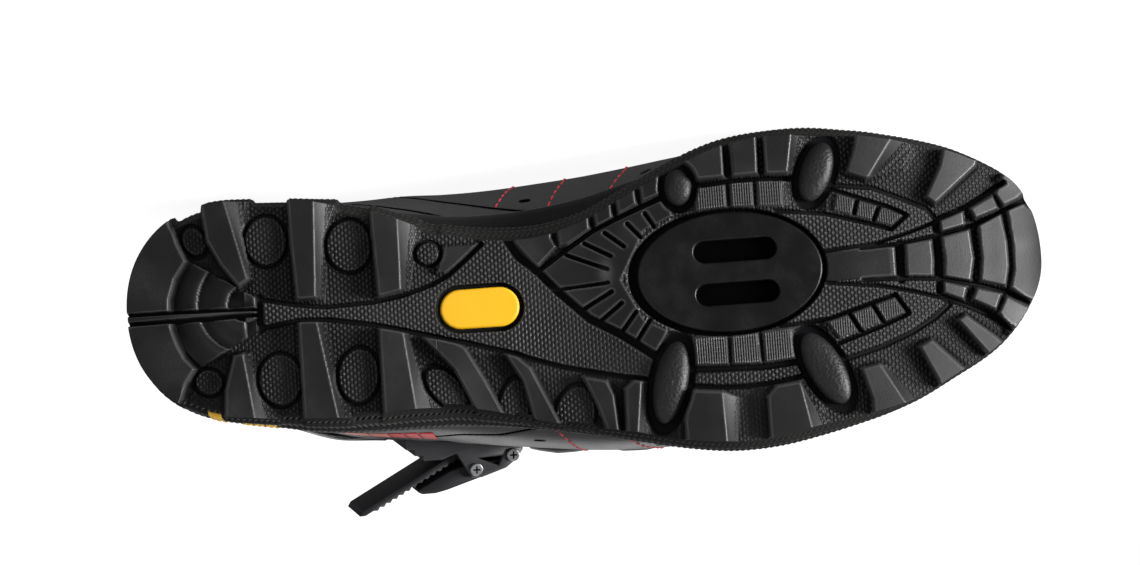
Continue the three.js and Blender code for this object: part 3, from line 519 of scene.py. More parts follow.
# Side wall: the pattern is in the shape, and its colour is painted highlight on rib crests and painted shade
# in grooves
def wallPattern(work, place, base, rough, normal):
    low = mask(work, "low")
    # Painted light in place of the rubber's own colour: pale grey highlight on crests, near-black shade in
    # grooves
    base = work.mix(low, (0.040, 0.039, 0.037, 1), (0.0012, 0.0012, 0.0015, 1))
    dullInGrooves(work, low, 0.35, 0.03)
    return base, rough, normal


def grainPattern(scale, strength):
    def pattern(work, place, base, rough, normal):
        grain = work.add("ShaderNodeGroup", {"Place": place, "Scale": scale},
                         node_tree=grainGroup).outputs["Height"]
        return base, rough, work.bump(grain, strength, 0.00025, normal)
    return pattern


def weavePattern(threads, strength):
    def pattern(work, place, base, rough, normal):
        woven = work.add("ShaderNodeGroup", {"Place": planPlace(work, "plan"), "Threads": threads},
                         node_tree=weaveGroup).outputs["Height"]
        # Painted shade: the cloth is darkened towards near black where the threads dip, between them
        darker = work.mix(work.ramp(woven, 0.5, 0.0), base, (0.004, 0.004, 0.005, 1))
        return darker, rough, work.bump(woven, strength, 0.0003, normal)
    return pattern


def pebblePattern(work, place, base, rough, normal):
    cells = work.add("ShaderNodeTexVoronoi", {"Vector": place, "Scale": 1100.0}, feature="SMOOTH_F1")
    return base, rough, work.bump(work.ramp(cells.outputs["Distance"], 0.6, 0.1), 0.3, 0.0003, normal)


materials = {
    "treadRubber": makeFinish("treadRubber", pattern=treadPattern, bump=0.28),
    "wallRubber": makeFinish("wallRubber", pattern=wallPattern, bump=0.15),
    "plateNylon": makeFinish("plateNylon", grain=1500.0, mottle=110.0, bump=0.20, dustiness=0.12,
                             specular=0.35),
    "podRubber": makeFinish("podRubber", pattern=pebblePattern),
    "badge": makeFinish("badge", grain=900.0, bump=0.05, dustiness=0.10),
    "leather": makeFinish("leather", pattern=grainPattern(1100.0, 0.22), dustiness=0.2),
    "counterSkin": makeFinish("counterSkin", pattern=grainPattern(1500.0, 0.12), dustiness=0.2),
    "cloth": makeFinish("cloth", pattern=weavePattern(5.0, 0.7), sheen=0.15),
    "lining": makeFinish("lining", pattern=weavePattern(4.2, 0.7), sheen=0.2),
    "webbing": makeFinish("webbing", pattern=weavePattern(6.5, 0.6)),
    "hardPlastic": makeFinish("hardPlastic", grain=1800.0, bump=0.08, dustiness=0.15),
    "greyPlastic": makeFinish("greyPlastic", grain=1800.0, bump=0.08, dustiness=0.15),
    "screwMetal": makeFinish("screwMetal", grain=1400.0, bump=0.05, dustiness=0.2, metal=1.0),
    "redThread": makeFinish("redThread", grain=4000.0, bump=0.4),
    "blackThread": makeFinish("blackThread", grain=4000.0, bump=0.4),
    "redPrint": makeFinish("redPrint", grain=900.0, bump=0.05),
    "wornPrint": makeFinish("wornPrint", grain=900.0, bump=0.05, dustiness=0.8),
    "yellowPrint": makeFinish("yellowPrint", grain=900.0, bump=0.05),
    "darkRecess": makeFinish("darkRecess", specular=0.02),
}


def dress(piece, name, second=None):
    piece.data.materials.clear()
    piece.data.materials.append(materials[name])
    if second:
        piece.data.materials.append(materials[second])
    return piece


def addNumbers(piece, name, values):
    made = piece.data.attributes.new(name, "FLOAT", "POINT")
    made.data.foreach_set("value", np.ascontiguousarray(values, dtype=np.float32).ravel())


def addPlaces(piece, name, values):
    made = piece.data.attributes.new(name, "FLOAT_VECTOR", "POINT")
    made.data.foreach_set("vector", np.ascontiguousarray(values, dtype=np.float32).ravel())


print("finishes made")

# The last: a point for arrays of shares along and of turns from the inner feather line over the crown to the
# outer one, going in from the outside of the upper by inset. Below the bulge the section is a quarter ellipse
# from the feather line, above it a superellipse up to the crown.
lastForm = {
    "heelInset": 2, "span": 295.5, "heelLean": 7, "nose": 46, "wall": 2, "feather": 1.5, "overlay": 1.3,
}


def lastPoint(at, turn, inset=0.0):
    at, turn = np.broadcast_arrays(np.asarray(at, float), np.asarray(turn, float))
    side = np.where(turn < 0.5, -1, 1)
    apart = np.abs(2 * turn - 1)
    return lastSide(at, apart, side, inset)


def lastSide(at, apart, side, inset=0.0):
    foot = rimHeight(at) + shoe["seatGap"]
    tall = shoe["instepHeight"]
    around = endRounding(at, 0.0)
    width = np.where(side < 0, last("medial", at), last("lateral", at)) * shoe["ballWidth"] * around
    rim = rimShare(at, side) * shoe["ballWidth"] * around
    bulge = np.maximum(0, width - inset)
    feather = np.maximum(0, rim - lastForm["feather"] - inset)
    past = np.maximum(0, 1 - (1 - at) * shoe["length"] / lastForm["nose"])
    drop = np.maximum(0.35, (1 - past ** 2.4) ** (1 / 2.4))
    crown = foot + (last("crown", at) * tall - foot) * drop - inset
    middle = foot + (crown - foot) * np.minimum(0.55, (last("bulge", at) * tall - foot) / (crown - foot))
    power = 2 / last("square", at)
    lean = np.clip(1 - apart, 0, 0.5) * math.pi
    rise = np.clip(0.5 - apart, 0, 0.5) * math.pi
    low = apart > 0.5
    y = np.where(low, feather + (bulge - feather) * np.sin(lean),
                 bulge * np.maximum(0, np.cos(rise)) ** power)
    z = np.where(low, foot + (middle - foot) * (1 - np.cos(lean)),
                 middle + (crown - middle) * np.sin(rise) ** power)
    ridge = last("ridge", at) * shoe["ballWidth"] * np.maximum(0, (z - middle) / (crown - middle)) ** 2
    back = np.maximum(0, (z - foot) / (shoe["heelHeight"] - foot)) ** 2
    back = lastForm["heelLean"] * np.maximum(0, 1 - at / 0.3) * back
    x = lastForm["heelInset"] + inset + at * (lastForm["span"] - 2 * inset) + back
    return np.stack([x, side * y - ridge, z], -1)


# Places along the shoe in millimetres, close together at the rounded ends and evenly spaced between them
def stationsAlong(first, end, step, closeBy=12.0):
    inner = np.arange(first + (closeBy if first == 0 else 0),
                      end - (closeBy if end == shoe["length"] else 0), step)
    heel = closeBy * np.linspace(0, 1, int(closeBy / step * 1.6), endpoint=False) ** 2 if first == 0 else []
    toe = shoe["length"] - closeBy * np.linspace(1, 0, int(closeBy / step * 1.6)) ** 2
    return np.concatenate([heel, inner, toe if end == shoe["length"] else [end]])


# Tread. Plan places are x from the heel and how far to the inner side, in millimetres.
tread = {
    "thickness": 4, "draft": 1.1, "step": 0.35, "columns": 148, "splits": (0, 100, 200, 300), "groove": 0.9,
    "window": (196.8, 0.5, 30.8, 20.3), "windowDepth": 3.6,
}

# Blocks: height in millimetres, corners, and for a block with a sloping front the top and foot of that
# slope as (to the inner side, top x, foot x) at two places
blocks = [
    (6, [(-3, 36), (15.5, 36), (15.5, 29.5), (18, 22), (20.5, 16), (16.5, 10.5), (14.2, 4), (14, 0),
         (14.5, -6), (16, -11), (18, -15.5), (21.2, -19.3), (18, -24), (15.5, -30.5), (15.5, -36),
         (-3, -36)], None),
    (6, [(26.5, 40), (26.3, 33), (27.5, 22), (31.5, 14), (37, 6.3), (41, 9), (41, 16), (40.5, 30),
         (41.5, 40)], (9, 40, 42, 30, 35, 41)),
    (6, [(54.5, 40), (54.7, 20), (55.5, 1), (64, 1), (65, 12), (66, 20), (69.5, 30), (70.5, 40)],
     (1, 61.8, 64, 30, 63, 69.5)),
    (6, [(81, 40), (81.3, 20), (82, 0), (91.3, 2), (93, 10), (95, 16), (96, 20), (96.5, 40)],
     (2, 89.6, 91.4, 20, 89.8, 96)),
    (2.6, [(104.5, 15.5), (116, 15.5), (106.5, 6.5), (101.5, 7)], None),
    (6, [(29.3, -46), (30.5, -27), (34, -15.8), (39, -14.8), (40.5, -20), (42, -28), (46, -36), (47, -46)],
     (-15.5, 37.2, 38.8, -34, 39.3, 45)),
    (6, [(55.4, -46), (55.6, -6), (63.6, -6.5), (65, -15), (67, -25), (69.5, -37), (70, -46)],
     (-7, 61.8, 63.8, -37, 66.5, 69.5)),
    (6, [(81.4, -46), (81.6, -10), (91, -12), (92.7, -20), (95, -28), (99.5, -36), (100, -46)],
     (-12, 89.5, 91.3, -35, 91.7, 99.4)),
    (5, [(95.5, -14), (100, -19), (105, -24.8), (111, -38), (112, -48), (124, -48), (120.5, -41),
         (115, -29), (109.3, -18.3), (104, -15)], None),
    (5, [(121.5, -20.5), (127, -30), (130, -43), (131, -50), (139.5, -50), (138, -44), (134, -35),
         (130, -26), (125.5, -22)], None),
    (4.6, [(146.5, -30), (150, -38), (153, -47), (153.5, -52), (157.5, -52), (157, -44), (156.5, -37),
           (154.5, -32)], None),
    (5, [(160, -35), (159.5, -52), (167.5, -52), (167.5, -33), (163, -32.5)],
     (-33, 165.5, 167.3, -48, 163.5, 167.3)),
    (3.4, [(127.5, 15.2), (127.5, 24), (140, 28), (139.5, 16), (141, 13), (134.2, 6.6)], None),
    (4.2, [(141.8, 13), (145, 13.6), (152.2, 17.8), (151.6, 32), (141.6, 30)], None),
    (4.2, [(154.2, 18.5), (159.8, 21), (159.2, 36), (153.4, 34)], None),
    (4.2, [(161.8, 21.8), (168, 24.8), (167, 38), (160.8, 36)], None),
    (4.2, [(169.8, 25.4), (176.2, 27.6), (175, 40), (168.8, 38)], None),
    (3.6, [(187, 20.9), (197.3, 21), (197.3, 29.4), (187.5, 28.8)], None),
    (3.6, [(198.7, 21), (206.1, 21), (206.3, 29.8), (198.7, 29.5)], None),
    (3.6, [(207.3, 21), (219, 20.2), (219.3, 29), (207.4, 29.8)], (21, 215, 219, 29, 215.5, 219)),
    (6, [(185.5, 31), (197, 31.2), (197.2, 52), (184, 52), (184, 38)], (0, 400, 401, 40, 400, 401)),
    (6, [(199.6, 31.2), (208, 31.4), (208.6, 52), (199.4, 52)], None),
    (6, [(210.3, 31.2), (219.6, 30.8), (223, 41), (226, 52), (210.6, 52)],
     (31, 217.5, 219.6, 43, 219.5, 224.5)),
    (3.6, [(183.4, -20), (194.5, -19.8), (194.3, -30), (183, -29.3)], None),
    (3.6, [(195.6, -19.8), (204.5, -19.8), (205, -30.4), (195.4, -30.2)], None),
    (3.6, [(205.9, -19.8), (217.3, -18.8), (219.3, -29), (206, -30.3)],
     (-19, 214.8, 217.3, -29, 215.2, 219.3)),
    (6, [(180.5, -37), (192, -38.3), (199, -41), (199, -64), (179, -64), (178.6, -47)],
     (-38, 191.3, 199, -54, 191.8, 196)),
    (6, [(205.8, -41), (209, -37.6), (217, -36.8), (220.5, -44), (225, -50), (225, -64), (205.8, -64)],
     (-38, 217, 220, -52, 219.5, 226)),
    (5.4, [(237, 30.2), (240, 38), (243, 54), (258, 54), (259.5, 36), (256, 31), (248, 28.6),
           (243.5, 27.6)], (28, 243.8, 247, 40, 252, 262)),
    (5.4, [(262.6, 20.8), (265.6, 18.4), (280, 30), (284.5, 42), (272, 46), (268, 31)], None),
    (5.4, [(237.2, -34), (243.2, -32.8), (247, -33.5), (255, -42), (259, -58), (240, -58), (240, -44)],
     (-33, 243.2, 246.5, -45, 250, 258)),
    (5.4, [(256.7, -28), (261, -25.7), (271, -35.5), (277, -48), (265, -52), (262, -39)], None),
    (5.4, [(270.2, -20), (273, -18.2), (283, -26), (290, -33), (284, -44), (279, -31)], None),
    (3.2, [(231.8, 18.1), (233.2, 23.8), (255, 15.4), (250.8, 11.8)], None),
    (3.2, [(227, -18), (230.8, -23.8), (253.2, -16.8), (249.8, -11.3)], None),
    (3.4, [(226, 4.4), (251, 5.6), (251, -5), (226, -4.8)], None),
    (4.4, [(254.6, 5.9), (263.4, 7), (263.6, 0), (263, -5.5), (254.4, -5)], None),
    (4.4, [(266.8, 7.6), (276.4, 9.8), (277.2, 0), (275.6, -7.6), (266.8, -5.5), (267.4, 0)], None),
    (4.4, [(266.8, 9), (275, 11), (274.8, 16), (266.6, 13)], None),
    (4.4, [(265.6, -6.9), (274.3, -9), (272.8, -13.6), (265.4, -10.6)], None),
    (4.4, [(279.4, 11.3), (287.4, 14.6), (288.9, 5), (288.9, -3), (287.4, -9.6), (278.7, -7.4),
           (279.8, 0)], None),
    (4.4, [(277, 16.6), (285, 20.6), (286.8, 15.9), (278.6, 13)], None),
    (4.4, [(277.4, -9.7), (285.8, -11.8), (283.4, -17.4), (275.6, -13.4)], None),
    (4.6, [(289.6, 15.6), (294.8, 17.8), (304, 10), (304, -10), (295.2, -15.2), (288.8, -10.2),
           (290.5, -4), (290.6, 4)], None),
    (4.6, [(286, 21), (288.4, 16.8), (293.6, 18.8), (300, 24), (291, 32)], None),
    (4.6, [(287.2, -12.8), (294, -16), (300, -22), (290, -30), (284.2, -18.2)], None),
]

# Low fields under and between the blocks: height, whether scaled, corners
fields = [
    (1.5, [(44, 1.5), (65, -1.5), (80, -1), (90, 0.5), (100, 3.5), (105, 6), (110, 10), (116, 15),
           (117, 26), (127, 26), (126, 15.5), (130, 9), (135, 4.6), (140, -1.4), (150, -11.4),
           (160, -17.4), (170, -25), (172, -33), (160, -31), (150, -29), (140, -26.5), (130, -23),
           (125, -20.5), (116, -18), (110, -16), (100, -13.5), (90, -11), (80, -8.5), (65, -6), (55, -5.8),
           (44, -6.8)]),
    (2.6, [(135, 5.6), (145, 12), (153, 16.6), (160, 19.6), (170, 23.4), (178.6, 26.4), (179.5, 20),
           (170, 16), (161.5, 0.5), (168, -13), (175.5, -17), (172.6, -23), (170, -24), (160, -16.6),
           (150, -10.6), (140.4, -0.8)]),
    (1.6, [(156, 8), (170, 17), (179, 21), (179, -19), (168, -14), (156, -4)]),
    (1.7, [(212, 18.4), (229, 17.6), (230, 26), (245, 24.3), (255, 19.8), (262.5, 16.5), (265.2, 13),
           (255, 9.3), (240, 6), (226, 5), (224, 11), (219, 15)]),
    (1.7, [(212, -18), (226, -17), (230, -30), (245, -26.3), (255, -22.3), (266.6, -14.4), (265.6, -12),
           (255, -8.8), (240, -5.6), (226, -5), (223, -11), (218, -15)]),
    (1.4, [(181.5, -32), (219, -31.5), (219, -34.6), (200, -36.2), (181.5, -35)]),
    (2.2, [(241, 6), (264, 11.8), (264.5, 8), (254, 6), (241, 5)]),
    (2.2, [(241, -5.5), (264, -11.2), (264.5, -6.6), (254, -5.6)]),
    (1.2, [(176, 36), (180, 20.5), (224, 19), (224, 52), (176, 52)]),
    (1.2, [(176, -36), (180, -18.5), (224, -18), (224, -64), (176, -64)]),
]

# Textured pads in the heel: centre, half sizes and turn in degrees
pads = [
    (46.5, 21, 6.6, 7.6, 0), (73.5, 17.6, 7, 8, 0), (99, 13.5, 3.6, 3.4, 0), (23.2, 22.5, 3.6, 4.6, 25),
    (48.5, -24.5, 6.8, 8, 0), (74, -24.8, 6.3, 8.4, -8), (102, -31, 8, 4.4, -48),
    (123.8, -38, 4.8, 8.6, -14), (143.4, -42, 6.2, 9, -16), (25.2, -23.6, 4.4, 3.8, -20),
]

# Oval pods: name, centre, half length along the long side, half width, turn of the long side from across
# the shoe
pods = [
    ("pod_inner_rear", 0.606, -0.81, 5.9, 4.5, 0), ("pod_inner_front", 0.757, -0.72, 9.9, 5.1, 22),
    ("pod_outer_rear", 0.584, 0.65, 13.6, 5.5, 15), ("pod_outer_front", 0.752, 0.65, 12.9, 5.8, -26),
]

# Narrow dark grooves: width and the places that each runs through
grooves = [
    (0.8, [(0, -0.1), (12, -0.3), (25, -0.6), (34, -0.8), (43, -1.2)]),
    (1.0, [(0, -3.1), (14, -3.1), (28, -3.0), (43, -2.9)]),
    (1.5, [(43.2, 3), (43, -8)]),
    (1.1, [(43.5, 2.2), (55, -0.5), (65, -1.8), (80, -1.3), (90, 0.3), (100, 3.4), (105, 6), (110, 10),
           (116.5, 15.6)]),
    (1.1, [(43.5, -7.3), (55, -5.6), (65, -5.9), (80, -8.6), (90, -11.2), (100, -13.9), (105, -15.4),
           (110, -16.4), (116, -18.3), (125, -20.8), (130, -22.9), (140, -26.2), (150, -28.7),
           (160, -31), (169, -32.7)]),
    (1.8, [(124.6, 17), (128, 11), (134.6, 5), (140, -1.2), (150, -11.2), (160, -17.2), (171, -25.4)]),
    (1.1, [(134.4, 5.4), (145, 12.3), (153, 17.2), (160, 20.2), (170, 24), (178, 26.8)]),
    (0.9, [(144, 10), (157, 4.4)]),
    (0.9, [(150, 13.4), (158.5, 8.5)]),
    (0.9, [(157, 16.3), (163, 11.3)]),
    (0.9, [(164.5, 18.7), (168.5, 14)]),
    (0.9, [(170.5, 21.6), (173.2, 17)]),
    (0.8, [(140, -1), (157, 0)]),
    (0.9, [(148, -8.3), (158, -3)]),
    (0.9, [(153, -12.9), (161, -7)]),
    (0.9, [(160, -17), (165.5, -10.2)]),
    (0.9, [(165, -20), (170, -13)]),
    (1.1, [(181.5, 30.2), (190, 29.2), (200, 30), (210, 30), (220, 29.4)]),
    (1.5, [(182, -30.4), (194, -30.8), (206, -31.2), (219, -30)]),
    (1.1, [(181, -35.6), (190, -36.8), (200, -37.2), (210, -36.4), (218, -35)]),
    (1.0, [(213, 19.4), (229, 17.3), (240, 14.2), (250.4, 11), (256, 15.4), (250, 18.4), (240, 22),
           (231.5, 25.2)]),
    (1.0, [(240, 21.6), (238.6, 16.8)]),
    (1.0, [(247, 18.8), (245, 14.4)]),
    (1.0, [(212, -18.4), (228, -17), (240, -13.4), (250.2, -10.4), (254.4, -16.8), (244, -20.8),
           (230.6, -25.2)]),
    (1.0, [(234.8, -16), (238.4, -22.6)]),
    (1.0, [(242.5, -13.4), (246, -20)]),
    (0.9, [(228, 5.2), (245, 6.6), (256, 9.6), (265.8, 12.8)]),
    (0.9, [(228, -5.3), (245, -7.2), (256, -9.6), (266, -12.4)]),
    (1.2, [(230, 26.8), (245, 25), (255, 20.8), (262.5, 17.5), (265.8, 13.2)]),
    (1.2, [(231, -31), (245, -27), (255, -23), (263, -18.6), (268, -14.6), (266, -12)]),
    (2.0, [(252.8, 6), (252.6, -5.6)]),
    (1.6, [(265.6, 12), (265.6, 0), (265.2, -10)]),
    (1.0, [(240, 5.4), (252, 6), (264.5, 8.1), (279, 11.2), (288, 15.4), (296, 18.6)]),
    (1.0, [(240, -5.2), (252, -5.2), (266, -6), (280, -9), (288, -11.6), (297, -16.2)]),
    (1.2, [(266, 13.6), (276, 17.2), (289, 24.6)]),
    (1.2, [(266, -11.8), (275, -15.6), (284, -20), (289, -25)]),
]

# Where lugs end short of the outline, so that it steps in: x from, x to, side, depth
notches = [(16.5, 26, -1, 3.6), (42.5, 54, -1, 1.8), (70.5, 80.5, -1, 2.6), (97, 103, -1, 1.2),
           (16, 28.5, 1, 2.2), (47.5, 54.5, 1, 1.6), (71, 80, 1, 1.4), (101, 111, 1, 1.2),
           (124, 130, 1, 1.2), (140, 150, 1, 1.2)]


def notchDepth(x, side):
    depth = np.zeros_like(x)
    for start, end, where, deep in notches:
        edge = smoothStep((x - start + 0.8) / 1.6) * smoothStep((end - x + 0.8) / 1.6)
        depth = depth + deep * edge * (side == where)
    return depth


# Signed distance to a closed outline, negative inside: least distance to its sides, with its sign from
# crossings
def outlineDistance(px, py, corners):
    nearest = np.full(px.shape, 1e9)
    inside = np.zeros(px.shape, bool)
    for (ax, ay), (bx, by) in zip(corners, corners[1:] + corners[:1]):
        dx, dy = bx - ax, by - ay
        share = np.clip(((px - ax) * dx + (py - ay) * dy) / (dx * dx + dy * dy), 0, 1)
        nearest = np.minimum(nearest, np.hypot(px - ax - share * dx, py - ay - share * dy))
        if dy:
            inside ^= ((ay > py) != (by > py)) & (px < ax + (py - ay) * dx / dy)
    return np.where(inside, -nearest, nearest)


def pathDistance(px, py, places):
    nearest = np.full(px.shape, 1e9)
    for (ax, ay), (bx, by) in zip(places, places[1:]):
        dx, dy = bx - ax, by - ay
        share = np.clip(((px - ax) * dx + (py - ay) * dy) / (dx * dx + dy * dy), 0, 1)
        nearest = np.minimum(nearest, np.hypot(px - ax - share * dx, py - ay - share * dy))
    return nearest


def near(px, py, places, reach):
    xs, ys = zip(*places)
    return (px > min(xs) - reach) & (px < max(xs) + reach) & (py > min(ys) - reach) & (py < max(ys) + reach)


# Height of a block: full inside, falling over its draft outside, with both edges a little rounded
def blockHeight(distance, height, draft):
    share = np.clip((draft - distance) / (draft + 0.5), 0, 1)
    return height * (0.45 * share + 0.55 * smoothStep(share))


def ovalShape(px, py, cx, cy, rx, ry, turn):
    angle = math.radians(turn)
    u = (px - cx) * math.cos(angle) + (py - cy) * math.sin(angle)
    v = (py - cy) * math.cos(angle) - (px - cx) * math.sin(angle)
    share = np.hypot(u / rx, v / ry)
    return (share - 1) * min(rx, ry)


def blurred(height, times):
    for _ in range(times):
        wide = np.pad(height, 1, mode="edge")
        height = (wide[:-2, 1:-1] + wide[2:, 1:-1] + wide[1:-1, :-2] + wide[1:-1, 2:]) / 4
    return height


# Painted highlight on the crests, where the relief stands above its near surroundings, and painted shade at
# the feet, where it lies below its wider ones
def crestsOf(height):
    return np.clip((height - blurred(height, 3)) / 0.12 - 0.25, 0, 1) * smoothStep((height - 1.0) / 0.8)


def feetOf(height):
    return np.clip((blurred(height, 36) - height) / 1.1, 0, 1)


# The tread's relief over plan places: blocks, fields, pads and the heel's scoops are joined by the greater
# height, then the grooves, the pods' rings, the badge's seat and the plate's window are cut
def treadRelief(px, py):
    height = np.zeros(px.shape)
    ribs = np.zeros(px.shape)
    for tall, corners in fields:
        spot = near(px, py, corners, 2)
        height[spot] = np.maximum(height[spot], blockHeight(outlineDistance(px[spot], py[spot], corners),
                                                            tall, 0.7))
    scales = np.where(((px > 40) & (px < 122)) | ((px > 205) & (px < 292)), 1.0, 0.25)
    scales = np.where((px > 118) & (px < 205), np.clip(1 - (px - 118) / 10, 0.25, 1), scales)
    for tall, corners, slope in blocks:
        spot = near(px, py, corners, 3)
        x, y = px[spot], py[spot]
        distance = outlineDistance(x, y, corners)
        rise = blockHeight(distance, tall, tread["draft"])
        if slope:
            y0, top0, foot0, y1, top1, foot1 = slope
            share = np.clip((y - y0) / (y1 - y0), -0.3, 1.3)
            top, foot = top0 + (top1 - top0) * share, foot0 + (foot1 - foot0) * share
            down = np.clip((x - top) / np.maximum(foot - top, 0.5), 0, 1)
            rise = rise * (1 - 0.78 * (1 - (1 - down) ** 1.6))
        height[spot] = np.maximum(height[spot], rise)
        ribbed = (tall in (3.6, 3.2)) & (distance < -0.5)
        ribs[spot] = np.where(ribbed, 1.0, ribs[spot])
    # three scoops behind each other in the heel: each is deepest behind its rear wall and rises to its
    # front crest
    hub = 38.5
    radius = np.hypot(px - hub, (py - 1) * 0.98)
    inWedge = (py < 17 - (px - 20) * 0.64) & (py > -20 + (px - 21) * 0.56) & (px < 42.5)
    crests = [24.6, 15.4, 5.6, -6]
    scoop = np.zeros(px.shape)
    along = np.where(px < hub, radius, -radius)
    for outer, inner in zip(crests, crests[1:]):
        share = np.clip((outer - along) / (outer - inner), 0, 1)
        band = (along <= outer) & (along > inner)
        scoop = np.where(band, 0.7 + 2.9 * smoothStep((share - 0.12) / 0.8), scoop)
    scoop = np.where((px < 43) & (along <= crests[0]), scoop, 0)
    height = np.where(inWedge, np.maximum(height, scoop), height)
    rib = (py < -0.2) & (py > -3) & (px < 43)
    scales = np.where(inWedge | rib, 0, scales)
    height = np.where(rib, np.maximum(np.minimum(height, 4.2), 3.4 + 0.8 * np.clip(px / 8, 0, 1)), height)
    for cx, cy, rx, ry, turn in pads:
        distance = ovalShape(px, py, cx, cy, rx, ry, turn)
        raised = 1.5 + 0.5 * np.clip(-distance / 3, 0, 1)
        pad = raised * smoothStep((0.5 - distance) / 0.8)
        ring = 1 - smoothStep((np.abs(distance - 0.75) - 0.15) / 0.5)
        height = np.where(height < 2.6, np.where(distance < 0.5, pad, height * (1 - ring) - 0.7 * ring),
                          height)
        scales = np.where(distance < 0, 0.7, scales * (1 - ring))
    # the ramp in the middle of the toe rises forwards
    middle = (py < 5.5) & (py > -4.9) & (px > 226) & (px < 251.2)
    height = np.where(middle, np.minimum(height, 0.6 + 2.6 * np.clip((px - 227) / 22, 0, 1)), height)
    scales = np.where(middle, 0, scales)
    for width, places in grooves:
        spot = near(px, py, places, width + 1)
        cut = 1 - smoothStep((pathDistance(px[spot], py[spot], places) - width * 0.35) / (width * 0.55))
        height[spot] = height[spot] * (1 - cut) - tread["groove"] * cut
        scales[spot] = scales[spot] * (1 - cut)
        ribs[spot] = ribs[spot] * (1 - cut)
    for name, at, side, long, short, turn in pods:
        cx, cy = at * shoe["length"], -side * treadEdge(np.array([at]), side)[0]
        distance = ovalShape(px, py, cx, cy, short + 0.4, long + 0.4, -turn)
        cut = 1 - smoothStep((distance - 0.9) / 1.0)
        height = height * (1 - cut) - 1.3 * cut
        scales = scales * (1 - cut)
        ribs = ribs * (1 - cut)
    bx = np.clip(px, 114.6 - 6.5, 114.6 + 6.5)
    badge = np.hypot(px - bx, py + 5.3) - 6.5
    seat = 1 - smoothStep((badge - 1.1) / 0.5)
    height = height * (1 - seat) - 1.4 * seat
    scales = scales * (1 - seat)
    cx, cy, rx, ry = tread["window"]
    window = ovalShape(px, py, cx, cy, rx, ry, 0)
    rear = np.where(px < cx, 1.0, 0.1) * np.clip((cx - px) / rx, 0, 1)
    cut = 1 - smoothStep((window - 0.2 - 0.9 * rear) / 0.6)
    height = height * (1 - cut) - tread["windowDepth"] * cut
    scales = scales * (1 - cut)
    scales = np.where(height > 2.4, 0.0, scales)
    # Painted shade mask: darker the lower the relief lies, from half a millimetre of height down
    low = smoothStep((0.5 - height) / 1.6)
    # A round painted highlight on the tread behind the plate's window
    paintedHighlight = np.exp(-((px - 156.5) ** 2 + ((py - 3.6) * 0.55) ** 2) / 4.5)
    return height, scales, ribs, low, paintedHighlight


# The outsole as a closed body: rows along, and across them the relief from the inner to the outer edge,
# then over the outer wall, the flat top and down the inner wall
def makeTread(name, first, end):
    xs = stationsAlong(first, end, tread["step"])
    at = xs / shoe["length"]
    across = np.linspace(-1, 1, 2 * tread["columns"] + 1)
    side = np.where(across < 0, -1.0, 1.0)
    grid = np.broadcast_to(at[:, None], (len(at), len(across)))
    edge = treadShare(grid, side) * shoe["ballWidth"] * endRounding(grid, 0.0)
    px = grid * shoe["length"]
    notch = notchDepth(px, side) * np.clip(edge / 20, 0, 1)
    y = across * (edge - notch * smoothStep((np.abs(across) - 0.5) / 0.5))
    height, scales, ribs, low, paintedHighlight = treadRelief(px, -y)
    # Painted highlight on the crests of the relief
    paintedHighlight = np.maximum(paintedHighlight, 0.6 * crestsOf(height))
    # Painted shade at the feet of the relief, where it lies below its wider surroundings
    low = np.maximum(low, 0.75 * feetOf(height))
    under = underHeight(grid)
    bottom = np.stack([px, y, under - height], -1)
    top = np.stack([px, y * 0.985, under + tread["thickness"]], -1)[:, [-1, len(across) // 2, 0]]
    ring = np.concatenate([bottom, top], 1)
    piece = addMesh(name, ring.reshape(-1, 3), tubeFaces(*ring.shape[:2]))

    def spread(values, rest=0.0):
        return np.concatenate([values, np.full((len(xs), 3), rest)], 1)
    for label, values in (("scales", scales), ("ribs", ribs), ("low", low), ("paintedHighlight", paintedHighlight)):
        addNumbers(piece, label, spread(values))
    addPlaces(piece, "plan", ring)
    dress(piece, "treadRubber")
    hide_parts("outsole")
    print(name, "relief from", round(float(height.min()), 2), "to", round(float(height.max()), 2))
    return piece


for name, first, end in zip(("tread_heel", "tread_waist", "tread_toe"), tread["splits"], tread["splits"][1:]):
    makeTread(name, first, end)


# Midsole wall: a closed section at each station. The wall leans out from tread to rim, beads run along it,
# and four bands of slanted ribs, whose height is (1 + cos(turns along x and up the wall)) / 2, cross it
wall = {
    "step": 0.38, "rows": 31, "gap": 4.15, "bead": 1.1, "pitch": 1.9, "slant": 4.5, "rib": 0.60,
    "bands": ((0.02, 0.17, 1.0), (0.21, 0.55, -1.0), (0.60, 0.77, 1.0), (0.82, 0.98, -1.0)),
    "proud": ((0.0, 0.16, 0.20, 0.34, 0.38, 0.56, 0.60, 0.76, 0.80, 0.84, 0.96, 1.0),
              (0, 0, 1, 1, 0.1, 0.1, 1, 1, 0.1, 0.6, 0.5, 0)),
}


def wallPoint(x, side, up, out=0.0):
    at = x / shoe["length"]
    under, rim = underHeight(at), rimHeight(at)
    low = under + wall["gap"]
    z = low + (rim - low) * up
    share = (z - under) / (rim - under)
    tall = treadShare(at, side)
    wide = rimShare(at, side)
    y = (tall + (wide - tall) * share) * shoe["ballWidth"] * endRounding(at, 0.0)
    deep = np.where(side < 0, 0.85 - 0.35 * up, 0.85 * np.clip(1 - 2.5 * up, 0, 1))
    y = np.maximum(0, y - notchDepth(x, side) * np.clip(y / 20, 0, 1) * deep)
    return np.stack([x, side * (y + out * np.clip(y / 8, 0, 1)), z + 0 * y], -1)


